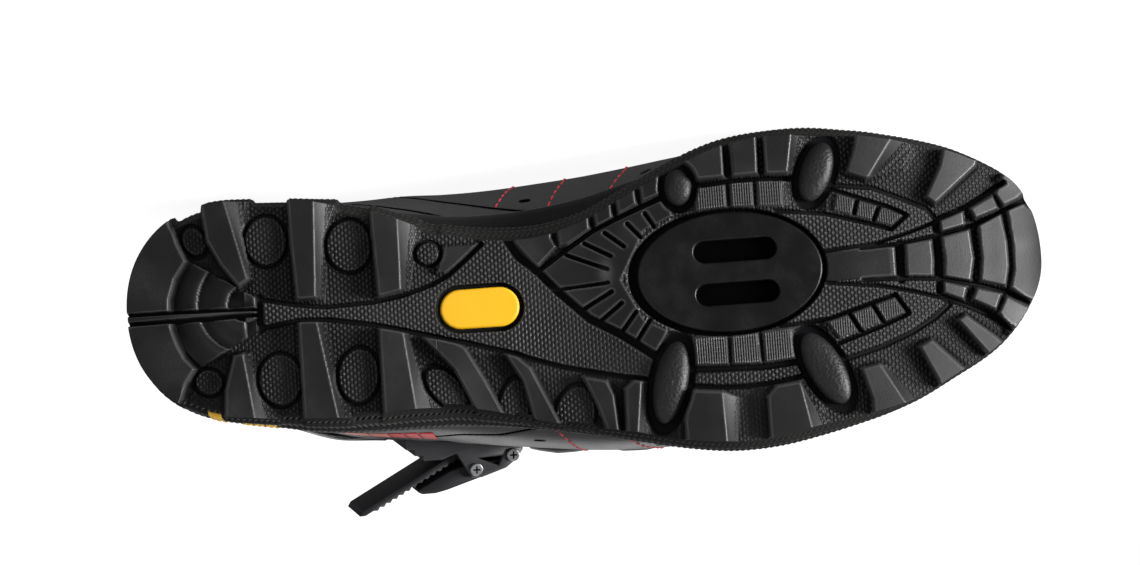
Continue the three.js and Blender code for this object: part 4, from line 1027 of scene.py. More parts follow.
def wallRelief(x, side, up):
    proud = np.interp(up, *wall["proud"]) * wall["bead"]
    rib = np.zeros_like(proud)
    for low, high, lean in wall["bands"]:
        inBand = smoothStep((up - low) / 0.03) * smoothStep((high - up) / 0.03)
        wave = 0.5 + 0.5 * np.cos(2 * math.pi * (x / wall["pitch"] + side * lean * up * wall["slant"]))
        rib = rib + inBand * (wave - 0.6)
    # The second value masks the wall's painted light: 0 on rib crests (painted highlight), 1 in troughs
    # (painted shade)
    return proud + rib * wall["rib"], np.clip(0.60 - rib * 2.1, 0, 1)


def makeMidsole():
    xs = stationsAlong(0, shoe["length"], wall["step"])
    up = np.linspace(0, 1, wall["rows"])
    sides, lows = [], []
    for side in (-1.0, 1.0):
        x, rise = np.broadcast_arrays(xs[:, None], up[None, :])
        out, low = wallRelief(x, np.full(x.shape, side), rise)
        points = wallPoint(x, np.full(x.shape, side), rise, out)
        sides.append(points if side < 0 else points[:, ::-1])
        lows.append(low if side < 0 else low[:, ::-1])
    ring = np.concatenate(sides, 1)
    faces = gridFaces(len(xs), ring.shape[1], closed=True)
    piece = addMesh("midsole_wall", ring.reshape(-1, 3), faces)
    addNumbers(piece, "low", np.concatenate(lows, 1))
    addPlaces(piece, "plan", ring)
    dress(piece, "wallRubber")
    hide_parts("midsole")


makeMidsole()
print("midsole made")


# Normals of a surface given by a function of two parameters, from small steps along both
def surfaceNormal(surface, u, v, step=1e-4):
    alongU = surface(u + step, v) - surface(u - step, v)
    alongV = surface(u, v + step) - surface(u, v - step)
    normal = np.cross(alongU, alongV)
    return normal / np.maximum(np.linalg.norm(normal, axis=-1, keepdims=True), 1e-9)


# The outward normal of the last at a side, whatever way its parameters run
def outwardNormal(at, apart, side, inset=0.0):
    at = np.clip(at, 0.002, 0.998)
    apart = np.clip(apart, 0.01, 0.99)
    normal = surfaceNormal(lambda u, v: lastSide(u, v, side, inset), at, apart)
    place = lastSide(at, apart, side, inset)
    axis = np.stack([shoe["length"] * (0.12 + 0.76 * at), 0 * at, rimHeight(at) + 20], -1)
    facing = np.sign(np.sum(normal * (place - axis), -1, keepdims=True))
    return normal * np.where(facing == 0, 1, facing)


# Where the upper ends: below the collar line and outside the throat. Both are given as shares.
upperEdge = {
    "collarAt": (0.00, 0.03, 0.07, 0.12, 0.18, 0.24, 0.30, 0.35, 0.385, 0.40, 0.401),
    "collarHeight": (1.00, 1.00, 0.985, 0.93, 0.87, 0.85, 0.88, 0.97, 1.10, 1.30, 9.0),
    "throatAt": (0.359, 0.36, 0.45, 0.55, 0.625, 0.648, 0.66, 0.6601),
    "throatHalf": (-9.0, 1.1, 1.0, 0.85, 0.68, 0.45, 0.15, -9.0), "throatWidth": 34,
}


def apartAtEdge(at, side, inset=0.0, samples=260):
    apart = np.linspace(1, 0, samples)
    u, v = np.broadcast_arrays(at[:, None], apart[None, :])
    place = lastSide(u, v, np.full(u.shape, float(side)), inset)
    x = place[..., 0] / shoe["length"]
    collar = np.interp(x, upperEdge["collarAt"],
                       upperEdge["collarHeight"]) * shoe["heelHeight"] - place[..., 2]
    half = np.interp(x, upperEdge["throatAt"], upperEdge["throatHalf"]) * upperEdge["throatWidth"] / 2
    throat = np.abs(place[..., 1] + last("ridge", np.clip(x, 0, 1)) * shoe["ballWidth"]) - half
    keep = np.minimum(collar, np.where(v > 0.5, 1e3, throat))
    first = np.argmax(keep < 0, axis=1)
    cut = (keep < 0).any(axis=1)
    rows = np.arange(len(at))
    before = np.maximum(first - 1, 0)
    a, b = keep[rows, before], keep[rows, first]
    share = np.clip(a / np.where(a - b == 0, 1, a - b), 0, 1)
    return np.where(cut, apart[before] + (apart[first] - apart[before]) * share, 0.0)


def apartAtHeight(at, side, z, inset=0.0, samples=260):
    apart = np.linspace(1, 0, samples)
    u, v = np.broadcast_arrays(at[:, None], apart[None, :])
    tall = lastSide(u, v, np.full(u.shape, float(side)), inset)[..., 2]
    first = np.clip(np.sum(tall < z[:, None], axis=1), 1, samples - 1)
    rows = np.arange(len(at))
    a, b = tall[rows, first - 1], tall[rows, first]
    share = np.clip((z - a) / np.where(b - a == 0, 1, b - a), 0, 1)
    return apart[first - 1] + (apart[first] - apart[first - 1]) * share


# The place on the underside of the bulge that the camera sees at x and so far out from the middle line
def seenFromBelow(x, across, side):
    x, across = np.asarray(x, float), np.asarray(across, float)
    at = (x - lastForm["heelInset"]) / lastForm["span"]
    apart = np.linspace(1, 0.5, 200)
    u, v = np.broadcast_arrays(at[:, None], apart[None, :])
    place = lastSide(u, v, np.full(u.shape, float(side)), 0.0)
    seen = np.abs(place[..., 1]) + side * 0.075 * (place[..., 2] - 5)
    nearest = np.argmin(np.abs(seen - across[:, None]), axis=1)
    return at, apart[nearest]


def denser(values, count):
    values = np.asarray(values, float)
    return np.interp(np.linspace(0, len(values) - 1, count), np.arange(len(values)), values)


# Seams and creases on the upper. Seams from the photo: side, places (x, how far out as seen from below).
# Seams over the side: side, places (share along, turn from the feather at 1 to the ridge at 0).
seams = {
    "seen": (
        (-1, ((88, 33), (100, 31.3), (110, 29.3), (120, 27.3), (131, 25.4), (140, 24))),
        (1, ((96, 47.5), (105, 47.2), (118, 48.2), (130, 46.8))),
        (-1, ((74, 31.5), (82, 30.6), (91, 28.8), (100, 26.6), (104, 25.4))),
    ),
    "side": (
        (-1, ((0.31, 0.62), (0.27, 0.52), (0.24, 0.40), (0.235, 0.30))),
        (1, ((0.31, 0.62), (0.27, 0.52), (0.24, 0.40), (0.235, 0.30))),
        (-1, ((0.86, 0.86), (0.845, 0.60), (0.83, 0.36), (0.815, 0.16), (0.81, 0.0))),
        (1, ((0.86, 0.86), (0.845, 0.60), (0.83, 0.36), (0.815, 0.16), (0.81, 0.0))),
    ),
    "red": (
        (-1, ((121.5, 27), (127.5, 33.5)), ((0.4275, 0.46), (0.433, 0.34))),
        (-1, ((138, 23.5), (140, 28), (144.5, 34)), ((0.486, 0.46), (0.492, 0.34))),
        (-1, ((157, 25.5), (160, 30.5), (165.5, 36.5)), ((0.556, 0.46), (0.562, 0.33))),
        (1, ((135.5, 46.5), (139, 50)), ((0.48, 0.58), (0.495, 0.40), (0.50, 0.34))),
        (1, ((158.5, 50.5), (164, 54.5)), ((0.565, 0.58), (0.58, 0.40), (0.585, 0.33))),
    ),
    "vents": ((-1, 131.5, 28.7, 0), (-1, 172, 35.5, 12), (1, 131, 51, 0), (1, 171, 55, 0)),
}
creases = (
    # share along and turn of the middle, half length along the girth, half width, depth, slant
    (0.725, 0.30, 0.30, 0.010, 1.1, -0.03), (0.752, 0.33, 0.26, 0.009, 0.9, 0.02),
    (0.70, 0.42, 0.20, 0.008, 0.6, -0.05),
    (0.775, 0.30, 0.22, 0.008, 0.6, 0.04), (0.64, 0.52, 0.16, 0.009, 0.5, 0.06),
    (0.32, 0.36, 0.14, 0.012, 0.7, 0.05),
    (0.29, 0.34, 0.12, 0.010, 0.5, 0.02),
)


def seamPaths():
    paths = []
    for side, places in seams["seen"]:
        at, apart = seenFromBelow(*zip(*places), side)
        paths.append((side, denser(at, 60), denser(apart, 60)))
    for side, places in seams["side"]:
        at, apart = zip(*places)
        paths.append((side, denser(at, 60), denser(apart, 60)))
    return paths


# How far the upper's skin is moved along its normal: troughs with small ridges beside them for creases, and
# narrow channels for seams
def skinRelief(at, apart, side):
    moved = np.zeros_like(at)
    for middle, turn, reach, half, deep, slant in creases:
        off = (at - middle - slant * (apart - turn)) / half
        fade = smoothStep(1.4 - np.abs(apart - turn) / reach)
        moved = moved + fade * (-deep * np.exp(-off ** 2) + 0.55 * deep
                                * np.exp(-((np.abs(off) - 2.0) / 0.9) ** 2))
    for where, us, vs in seamPaths():
        if where != side:
            continue
        girth = upperMesh["girth"]
        spot = near(at, apart, list(zip(us, vs)), 0.02)
        gap = pathDistance(at[spot] * shoe["length"], apart[spot] * girth,
                           list(zip(us[::3] * shoe["length"], vs[::3] * girth)))
        moved[spot] -= upperMesh["seamDepth"] * np.exp(-(gap / upperMesh["seamWide"]) ** 2)
    return moved


upperMesh = {"step": 1.25, "columns": 70, "girth": 130, "seamDepth": 0.45, "seamWide": 0.9}


def makeUpper():
    xs = stationsAlong(0, shoe["length"], upperMesh["step"])
    at = xs / shoe["length"]
    share = np.linspace(0, 1, upperMesh["columns"])
    parts, edges = [], []
    for side, order in ((-1, slice(None, None, -1)), (1, slice(None))):
        top = apartAtEdge(at, side)
        u = np.broadcast_to(at[:, None], (len(at), len(share))).copy()
        v = 1 - share[None, :] * (1 - top[:, None])
        sides = np.full(u.shape, float(side))
        place = lastSide(u, v, sides, 0.0)
        moved = skinRelief(u, v, side) * np.clip(u / 0.03, 0, 1) * np.clip((1 - u) / 0.03, 0, 1)
        moved = moved * np.clip(v / 0.06, 0, 1) ** 0.5
        place = place + outwardNormal(u, v, sides) * moved[..., None]
        parts.append(place[order])
        edges.append((top[order], place[:, -1][order]))
    grid = np.concatenate(parts)
    rows, columns = grid.shape[:2]
    faces = gridFaces(rows, columns)
    across = [[(rows - 1) * columns + j, (rows - 1) * columns + j + 1, j + 1, j] for j in range(columns - 1)]
    piece = addMesh("upper_skin", grid.reshape(-1, 3), faces + across, merge=0.004)
    pointOutwards(piece)
    dress(piece, "leather", "lining")
    thick = piece.modifiers.new("wall", "SOLIDIFY")
    thick.thickness = lastForm["wall"] * mm
    thick.offset = -1
    thick.use_even_offset = True
    thick.material_offset = 1
    thick.material_offset_rim = 0
    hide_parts("upper")
    atRim = np.concatenate([top for top, place in edges]) > 0.004
    return np.concatenate([place for top, place in edges])[atRim]


# Turns an open shell so that its faces look away from the inside of the shoe
def pointOutwards(piece):
    mesh = piece.data
    centre = toRow(np.array([[shoe["length"] * 0.5, 0, 45]]))[0]
    normals = np.empty(len(mesh.polygons) * 3)
    middles = np.empty(len(mesh.polygons) * 3)
    mesh.polygons.foreach_get("normal", normals)
    mesh.polygons.foreach_get("center", middles)
    away = np.sum(normals.reshape(-1, 3) * (middles.reshape(-1, 3) - centre), 1)
    if np.sum(np.sign(away)) < 0:
        mesh.flip_normals()


# A tube along a path: rings of a circle across the path, spanned by the path's direction and a steady side
def makeTube(name, path, radius, finish, closed=False, segments=10, flatten=1.0):
    ahead = np.roll(path, -1, 0) - np.roll(path, 1, 0) if closed else np.gradient(path, axis=0)
    ahead = ahead / np.linalg.norm(ahead, axis=1, keepdims=True)
    middle = path.mean(0)
    out = path - middle
    out = out - ahead * np.sum(out * ahead, 1, keepdims=True)
    out = out / np.linalg.norm(out, axis=1, keepdims=True)
    beside = np.cross(ahead, out)
    angle = np.linspace(0, 2 * math.pi, segments, endpoint=False)
    ring = (np.cos(angle)[None, :, None] * out[:, None] * flatten + np.sin(angle)[None, :, None]
            * beside[:, None])
    points = path[:, None] + radius * ring
    faces = gridFaces(len(path), segments, closed=True) if closed else tubeFaces(len(path), segments)
    if closed:
        end = (len(path) - 1) * segments
        faces += [[end + j, end + (j + 1) % segments, (j + 1) % segments, j] for j in range(segments)]
    return dress(addMesh(name, points.reshape(-1, 3), faces, merge=0.001), finish)


# A closed path again in even steps
def evenly(path, step):
    whole = np.vstack([path, path[:1]])
    run = np.concatenate([[0], np.cumsum(np.linalg.norm(np.diff(whole, axis=0), axis=1))])
    count = max(int(run[-1] / step), 2)
    wanted = np.linspace(0, run[-1], count, endpoint=False)
    return np.stack([np.interp(wanted, run, whole[:, k]) for k in range(3)], 1)


def smoothed(path, times, closed=True):
    for _ in range(times):
        path = 0.5 * path + 0.25 * (np.roll(path, 1, 0) + np.roll(path, -1, 0))
    return path


collarLine = makeUpper()
print("upper made")
binding = smoothed(evenly(collarLine, 1.6), 6)
tube = makeTube("collar_binding", binding, 1.45, "leather", closed=True, flatten=0.8)
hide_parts("upper")


# Stitches: each is a short closed capsule of rings, laid along its path on the surface's normal
def makeStitches(name, runs, finish, node, pitch=3.0, length=2.1, radius=0.42):
    ring = np.linspace(0, 2 * math.pi, 6, endpoint=False)
    steps = np.array([-1, -0.75, 0, 0.75, 1])
    fat = np.array([0.25, 0.85, 1, 0.85, 0.25])
    template = np.stack([
        np.repeat(steps * length / 2, 6), np.outer(fat, np.cos(ring)).ravel() * radius,
        np.outer(fat, np.sin(ring)).ravel() * radius * 0.8 - np.repeat(np.abs(steps) ** 2, 6) * radius * 0.8,
    ], -1)
    body = tubeFaces(len(steps), len(ring))
    points, faces = [], []
    for path, normal in runs:
        run = np.concatenate([[0], np.cumsum(np.linalg.norm(np.diff(path, axis=0), axis=1))])
        places = np.arange(pitch / 2, run[-1], pitch)
        centre = np.stack([np.interp(places, run, path[:, k]) for k in range(3)], 1)
        ahead = np.stack([np.interp(places, run, np.gradient(path[:, k], run)) for k in range(3)], 1)
        ahead /= np.linalg.norm(ahead, axis=1, keepdims=True)
        up = np.stack([np.interp(places, run, normal[:, k]) for k in range(3)], 1)
        up /= np.linalg.norm(up, axis=1, keepdims=True)
        beside = np.cross(up, ahead)
        made = (centre[:, None] + template[None, :, :1] * ahead[:, None] + template[None, :, 1:2]
                * beside[:, None] + template[None, :, 2:] * up[:, None])
        for one in made:
            start = len(points) * len(template)
            faces += [[i + start for i in face] for face in body]
            points.append(one)
    piece = addMesh(name, np.concatenate(points), faces)
    dress(piece, finish)
    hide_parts(node)
    return piece


def onLast(side, us, vs, out=0.1):
    sides = np.full(len(us), float(side))
    return lastSide(us, vs, sides, -out), outwardNormal(us, vs, sides)


def makeSeams():
    black = [onLast(side, us, vs, -0.15) for side, us, vs in seamPaths()]
    makeStitches("upper_seam_stitches", black, "blackThread", "upper", pitch=2.6,
                 length=1.9, radius=0.38)
    # Seen seams also get a thin near-black tube just inside the skin along their furrow: painted shade
    for i, (path, normal) in enumerate(black[:len(seams["seen"])]):
        seamShade = makeTube(f"upper_seam_painted_shade_{i + 1}", path - 0.12 * normal, 0.40,
                          "darkRecess")
        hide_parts("upper")
    red = []
    for side, seen, above in seams["red"]:
        at, apart = seenFromBelow(*zip(*seen), side)
        us = np.concatenate([at, [a for a, b in above]])
        vs = np.concatenate([apart, [b for a, b in above]])
        red.append(onLast(side, denser(us, 80), denser(vs, 80), 0.12))
    makeStitches("upper_red_stitches", red, "redThread", "upper", pitch=2.7, length=2.1,
                 radius=0.40)


makeSeams()


# A thin patch on a surface: a grid of surface(u, v) points over the unit square, closed with a thickness
# under it
def makePatch(name, surface, count, finish, node, thickness=0.25):
    u, v = np.meshgrid(np.linspace(0, 1, count[0]), np.linspace(0, 1, count[1]), indexing="ij")
    points = surface(u, v)
    piece = addMesh(name, points.reshape(-1, 3), gridFaces(*count))
    pointOutwards(piece)
    thick = piece.modifiers.new("thickness", "SOLIDIFY")
    thick.thickness = thickness * mm
    thick.offset = 1
    dress(piece, finish)
    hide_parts(node)
    return piece


# Plain printed marks: slanted bars on the outer heel wall and a tapered stripe with slanted breaks above it
marks = {
    "bars": ((24.4, 28.6, 0.16, 0.84), (34.4, 37.4, 0.42, 0.90), (38.0, 41.2, 0.40, 0.90),
             (41.8, 45.4, 0.38, 0.92)),
    "stripe": ((66.5, 74.5), (75.2, 81.0), (81.7, 86.6), (87.3, 91.4), (92.0, 96.5)),
    "stripeLow": 0.80, "stripeHigh": 0.625, "stripeThin": 0.35,
}


def makeMarks():
    for i, (x0, x1, low, high) in enumerate(marks["bars"]):
        def bar(u, v):
            x = x0 + (x1 - x0) * u + 1.6 * (v - 0.5)
            up = low + (high - low) * v
            out = wallRelief(x, np.ones_like(x), up)[0]
            return wallPoint(x, np.ones_like(x), up, out + 0.08)
        makePatch(f"heel_mark_{i + 1}", bar, (26, 22), "yellowPrint", "midsole", 0.15)
    for i, (x0, x1) in enumerate(marks["stripe"]):
        def band(u, v):
            share = (x0 + (x1 - x0) * u - 66) / 31
            wide = marks["stripeThin"] + (1 - marks["stripeThin"]) * np.clip(share, 0, 1)
            at = (x0 + (x1 - x0) * u + 1.4 * (v - 0.5) - lastForm["heelInset"]) / lastForm["span"]
            apart = marks["stripeLow"] + (marks["stripeHigh"] - marks["stripeLow"]) * (0.5 + (v - 0.5) * wide)
            return lastSide(at, apart, np.ones_like(at), -0.05)
        makePatch(f"side_stripe_{i + 1}", band, (14, 8),
                  "wornPrint" if i < 2 else "redPrint", "upper", 0.15)


makeMarks()


# Vents: thin near-black slots laid on the upper, painted shade where the vent holes are
def makeVents():
    for i, (side, x, out, turn) in enumerate(seams["vents"]):
        def slot(u, v):
            angle, reach = u * 2 * math.pi, v * 0.98 + 0.02
            dx = 2.0 * reach * np.sign(np.cos(angle)) * np.abs(np.cos(angle)) ** 0.7
            dy = 0.75 * reach * np.sin(angle)
            lean = math.radians(turn)
            xs = x + dx * math.cos(lean) - dy * math.sin(lean)
            outs = out + dx * math.sin(lean) + dy * math.cos(lean)
            at, apart = seenFromBelow(xs.ravel(), outs.ravel(), side)
            base, middle = seenFromBelow([x], [out], side)
            apart = middle[0] - (outs.ravel() - out) / 62
            return lastSide(at, apart, np.full(at.shape, float(side)), -0.04).reshape(*u.shape, 3)
        makePatch(f"upper_vent_{i + 1}", slot, (25, 4), "darkRecess", "upper", 0.08)


makeVents()
print("seams, marks and vents made")


# Overlays over heel and toe: bands on the last between two heights, rounded at their edges by a bevelled rim
overlays = {
    "counter": {"reach": 0.26, "at": (0.0, 0.05, 0.15, 0.22, 0.26), "top": (0.86, 0.84, 0.70, 0.65, 0.64),
                "lowAt": (0.0, 0.15, 0.19, 0.225, 0.26), "low": (0.36, 0.36, 0.44, 0.53, 0.61)},
    "toe": {"from": 0.885, "at": (0.885, 0.90, 0.94, 1.0), "top": (0.46, 0.54, 0.61, 0.615),
            "lowAt": (0.885, 0.97, 1.0), "low": (0.355, 0.435, 0.455)},
}


def makeOverlay(name, node, finish, at, lowOf, topOf, closeAtToe):
    share = np.linspace(0, 1, 26)
    parts = []
    inset = -0.15
    for side, order in ((-1, slice(None, None, -1)), (1, slice(None))):
        low = apartAtHeight(at, side, lowOf(at), inset)
        top = apartAtHeight(at, side, topOf(at), inset)
        u = np.broadcast_to(at[:, None], (len(at), len(share))).copy()
        v = low[:, None] + share[None, :] * (top - low)[:, None]
        sides = np.full(u.shape, float(side))
        swell = 0.35 * np.minimum(1, 14 * np.minimum(share, 1 - share))[None, :]
        if not closeAtToe:
            swell = swell - lastForm["overlay"] * 1.1 * smoothStep((at[:, None] - at[-1] + 0.06) / 0.06)
        place = lastSide(u, v, sides, inset) + outwardNormal(u, v, sides) * swell[..., None]
        parts.append(place[order])
    if closeAtToe:
        parts = [parts[1], parts[0]]
    grid = np.concatenate(parts)
    piece = addMesh(name, grid.reshape(-1, 3), gridFaces(*grid.shape[:2]), merge=0.004)
    pointOutwards(piece)
    thick = piece.modifiers.new("thickness", "SOLIDIFY")
    thick.thickness = lastForm["overlay"] * mm
    thick.offset = 1
    soften = piece.modifiers.new("edges", "BEVEL")
    soften.width = 0.45 * mm
    soften.segments = 2
    soften.limit_method = "ANGLE"
    soften.angle_limit = math.radians(60)
    dress(piece, finish)
    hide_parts(node)
    return grid


def makeOverlays():
    counter, toe = overlays["counter"], overlays["toe"]
    tall = shoe["heelHeight"]
    at = stationsAlong(0, counter["reach"] * shoe["length"], 1.6) / shoe["length"]
    makeOverlay("heel_cup", "heel_counter", "counterSkin", at,
                lambda a: np.maximum(np.interp(a, counter["lowAt"], counter["low"]) * tall,
                                     rimHeight(a) + 0.8),
                lambda a: np.interp(a, counter["at"], counter["top"]) * tall, False)
    at = stationsAlong(toe["from"] * shoe["length"], shoe["length"], 1.2) / shoe["length"]
    makeOverlay("toe_bumper", "toe_cap", "counterSkin", at,
                lambda a: np.maximum(np.interp(a, toe["lowAt"], toe["low"]) * tall, rimHeight(a) + 0.8),
                lambda a: np.interp(a, toe["at"], toe["top"]) * tall, True)


makeOverlays()
print("overlays made")


# A band over the last with a rounded section: w runs across it and t from its underside to its top, both from
# superelliptic sines, and its ends narrow to a rounded tip
def makeBand(name, node, finish, path, width, gap, thickness, rows=120, segments=40, tips=(0, 1),
             puff=0.0, ends=0.06):
    s = np.linspace(0, 1, rows)
    knots = np.linspace(0, 1, len(path))
    middle, step, wide = (np.interp(s, knots, [row[k] for row in path]) for k in range(3))
    tip = np.ones(rows)
    for end, apply in ((0, tips[0]), (1, tips[1])):
        away = np.abs(s - end) / ends
        tip = np.where((away < 1) & bool(apply), np.sqrt(np.maximum(0, 1 - (1 - away) ** 2)), tip)
    close = np.minimum(1, np.minimum(s, 1 - s) / 0.004)
    angle = np.linspace(0, 2 * math.pi, segments, endpoint=False)
    c, n = np.cos(angle), np.sin(angle)
    w = np.sign(c) * np.abs(c) ** 0.28
    t = np.sign(n) * np.abs(n) ** 0.75
    across = w[None, :] * (width * wide * np.maximum(tip, 0.02) / 2)[:, None]
    full = thickness * (1 + puff * np.cos(w[None, :] * math.pi / 2) ** 2)
    inset = -gap - full * (0.5 + 0.5 * t[None, :] * close[:, None])
    at = middle[:, None] + across / shoe["length"]
    turn = np.broadcast_to((step / 24)[:, None], at.shape)
    points = lastPoint(at, turn, inset)
    faces = tubeFaces(rows, segments)
    piece = addMesh(name, points.reshape(-1, 3), faces)
    run = np.broadcast_to((s * 150)[:, None], at.shape)
    addPlaces(piece, "plan", np.stack([run, across, 0 * across], -1))
    dress(piece, finish)
    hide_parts(node)
    return middle, step, wide


straps = {
    "width": 25, "gap": 0.45, "thickness": 2.0, "front": 0.657, "middle": 0.563, "edge": 2.2,
    "path": ((0.015, 9, 1.00), (0.010, 10, 1.00), (0.005, 11, 1.00), (0.000, 12, 1.00), (-0.005, 13, 1.00),
             (-0.010, 14, 1.00), (-0.014, 15, 1.00), (-0.017, 16, 0.96), (-0.020, 17, 0.86)),
    "instep": ((0.474, 9, 1.00), (0.470, 10, 1.03), (0.466, 11, 1.05), (0.462, 12, 1.05), (0.460, 13, 1.03),
               (0.458, 14, 1.00), (0.457, 15, 0.96), (0.456, 16, 0.90), (0.456, 17, 0.76)),
}


def strapStitches(name, node, slot, middle, step, wide, reach):
    runs = []
    inside = slice(5, -7)
    for edge in (-1, 1):
        shift = edge * (straps["width"] * wide / 2 - reach) / shoe["length"]
        at, turn = (middle + shift)[inside], (step / 24)[inside]
        top = -straps["gap"] - straps["thickness"]
        path = lastPoint(at, turn, top - 0.02)
        normal = path - lastPoint(at, turn, top + 2)
        runs.append((path, normal))
    makeStitches(name, runs, "blackThread", node, pitch=3.0, length=2.1, radius=0.32)


def makeStraps():
    for name, node, place in (("front_strap", "strap_front", straps["front"]),
                              ("middle_strap", "strap_middle", straps["middle"])):
        path = [(place + at, step, wide) for at, step, wide in straps["path"]]
        run = makeBand(name, node, "webbing", path, straps["width"], straps["gap"],
                       straps["thickness"])
        strapStitches(f"{name}_stitches", node, "strap_fabric", *run, straps["edge"])
    run = makeBand("instep_band", "instep_strap", "leather", straps["instep"],
                   straps["width"], straps["gap"], straps["thickness"], tips=(1, 0), puff=0.5)
    strapStitches("instep_band_stitches", "instep_strap", "upper_leather", *run, straps["edge"])


makeStraps()
print("straps made")

tongue = {"from": 0.325, "to": 0.70, "gap": 2.6, "thickness": 3.5, "channels": 5, "channelDepth": 0.7}


# Tongue: a padded sheet under the throat with a closed rounded section, sewn channels across it, and a
# taper at either end
def makeTongue():
    rows, segments = 150, 44
    s = np.linspace(0, 1, rows)
    at = tongue["from"] + (tongue["to"] - tongue["from"]) * s
    angle = np.linspace(0, 2 * math.pi, segments, endpoint=False)
    c, n = np.cos(angle), np.sin(angle)
    w = np.sign(c) * np.abs(c) ** 0.4
    t = np.sign(n) * np.abs(n) ** 0.7
    tip = np.sqrt(np.maximum(0, 1 - np.maximum(0, 1 - s / 0.07) ** 2))
    turn = (12 + 3 * w[None, :] * np.maximum(tip, 0.03)[:, None] * 0.98) / 24
    fat = tongue["thickness"] * np.minimum(1, np.minimum(s / 0.015, (1 - s) / 0.01)) * (0.6 + 0.4 * tip)
    channel = np.abs(np.sin(s * math.pi * tongue["channels"])) ** 0.5
    full = fat[:, None] * (1 - 0.3 * np.abs(w[None, :]) ** 4)
    top = np.where(t[None, :] > 0, tongue["channelDepth"] * (1 - channel)[:, None]
                   * (1 - np.abs(w[None, :]) ** 6), 0)
    inset = tongue["gap"] + tongue["thickness"] / 2 - full / 2 * t[None, :] + top
    points = lastPoint(np.broadcast_to(at[:, None], turn.shape), turn, inset)
    faces = tubeFaces(rows, segments)
    piece = addMesh("padded_tongue", points.reshape(-1, 3), faces)
    addPlaces(piece, "plan", np.stack([np.broadcast_to((s * 120)[:, None], turn.shape),
                                       np.broadcast_to(w[None, :] * 30, turn.shape), 0 * turn], -1))
    dress(piece, "cloth")
    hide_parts("tongue")


# Insole: a sheet in the bottom of the shoe, its edge lifted against the lining
def makeInsole():
    xs = stationsAlong(0, shoe["length"], 2.0)
    at = xs / shoe["length"]
    inset = lastForm["wall"] + 0.6
    across = np.linspace(-1, 1, 33)
    low = rimHeight(at) + shoe["seatGap"]
    sides = []
    for side in (-1, 1):
        apart = apartAtHeight(at, side, low + 3.6, inset)
        sides.append(np.abs(lastSide(at, apart, np.full(at.shape, float(side)), inset)[:, 1]))
    half = np.where(across[None, :] < 0, sides[0][:, None], sides[1][:, None])
    x = lastForm["heelInset"] + inset + at * (lastForm["span"] - 2 * inset)
    px = np.broadcast_to(x[:, None], half.shape)
    rise = 3.2 - 0.7 * (1 - np.abs(across[None, :]) ** 3)
    top = np.stack([px, across[None, :] * half, low[:, None] + rise], -1)
    bottom = np.stack([px, across[None, :] * half * 0.98, low[:, None] + 0.1 + 0 * half], -1)[:, ::-1]
    ring = np.concatenate([top, bottom], 1)
    piece = addMesh("footbed", ring.reshape(-1, 3), gridFaces(*ring.shape[:2], closed=True),
                    merge=0.004)
    dress(piece, "lining")
    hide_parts("insole")


makeTongue()
makeInsole()
print("tongue and insole made")


def finishEdges(piece, width, angle=32, segments=2):
    soften = piece.modifiers.new("edges", "BEVEL")
    soften.width = width * mm
    soften.segments = segments
    soften.limit_method = "ANGLE"
    soften.angle_limit = math.radians(angle)
    soften.harden_normals = True
    return piece


# A flat plate between two heights over an outline with holes, all in plan; place(points) carries it into
# the shoe
def makePlate(name, loops, low, high, place, slot, finish, node, bevel):
    work = bmesh.new()
    edges = []
    for loop in loops:
        verts = [work.verts.new((x, y, low)) for x, y in loop]
        edges += [work.edges.new((a, b)) for a, b in zip(verts, verts[1:] + verts[:1])]
    bmesh.ops.triangle_fill(work, use_beauty=True, use_dissolve=True, edges=edges)
    made = bmesh.ops.extrude_face_region(work, geom=list(work.faces))
    for vert in (item for item in made["geom"] if isinstance(item, bmesh.types.BMVert)):
        vert.co.z = high
    bmesh.ops.recalc_face_normals(work, faces=work.faces)
    work.verts.index_update()
    points = np.array([list(vert.co) for vert in work.verts])
    faces = [[vert.index for vert in face.verts] for face in work.faces]
    work.free()
    piece = addMesh(name, place(points), faces)
    dress(piece, finish)
    finishEdges(piece, bevel)
    if node:
        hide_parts(node)
    return piece


def ovalLoop(cx, cy, rx, ry, count=96):
    angle = np.linspace(0, 2 * math.pi, count, endpoint=False)
    return list(zip(cx + rx * np.cos(angle), cy + ry * np.sin(angle)))


def stadiumLoop(cx, cy, length, width, steps=16):
    angle = np.linspace(-math.pi / 2, math.pi / 2, steps)
    reach = (length - width) / 2
    right = [(cx + reach + width / 2 * math.cos(a), cy + width / 2 * math.sin(a)) for a in angle]
    left = [(cx - reach - width / 2 * math.cos(a), cy - width / 2 * math.sin(a)) for a in angle]
    return right + left


# Cleat plate: it lies in the tread's window, tilted about the middle of its length
plate = {
    "at": 0.656, "centreSide": -0.5, "length": 60.4, "width": 39.4, "thickness": 5, "proud": 0.6, "tilt": 2.4,
    "slotShift": 2.1, "slotSpacing": 14, "slotLength": 27, "slotWidth": 7.2,
}


def onPlate(points):
    tilt = math.radians(plate["tilt"])
    cx, cy = plate["at"] * shoe["length"], plate["centreSide"]
    lift = underHeight(np.array([plate["at"]]))[0] - plate["proud"]
    x, y, z = (points[:, 0] - cx, points[:, 1] - cy, points[:, 2])
    return np.stack([cx + x * math.cos(tilt) + z * math.sin(tilt), cy + y,
                     lift - x * math.sin(tilt) + z * math.cos(tilt)], -1)


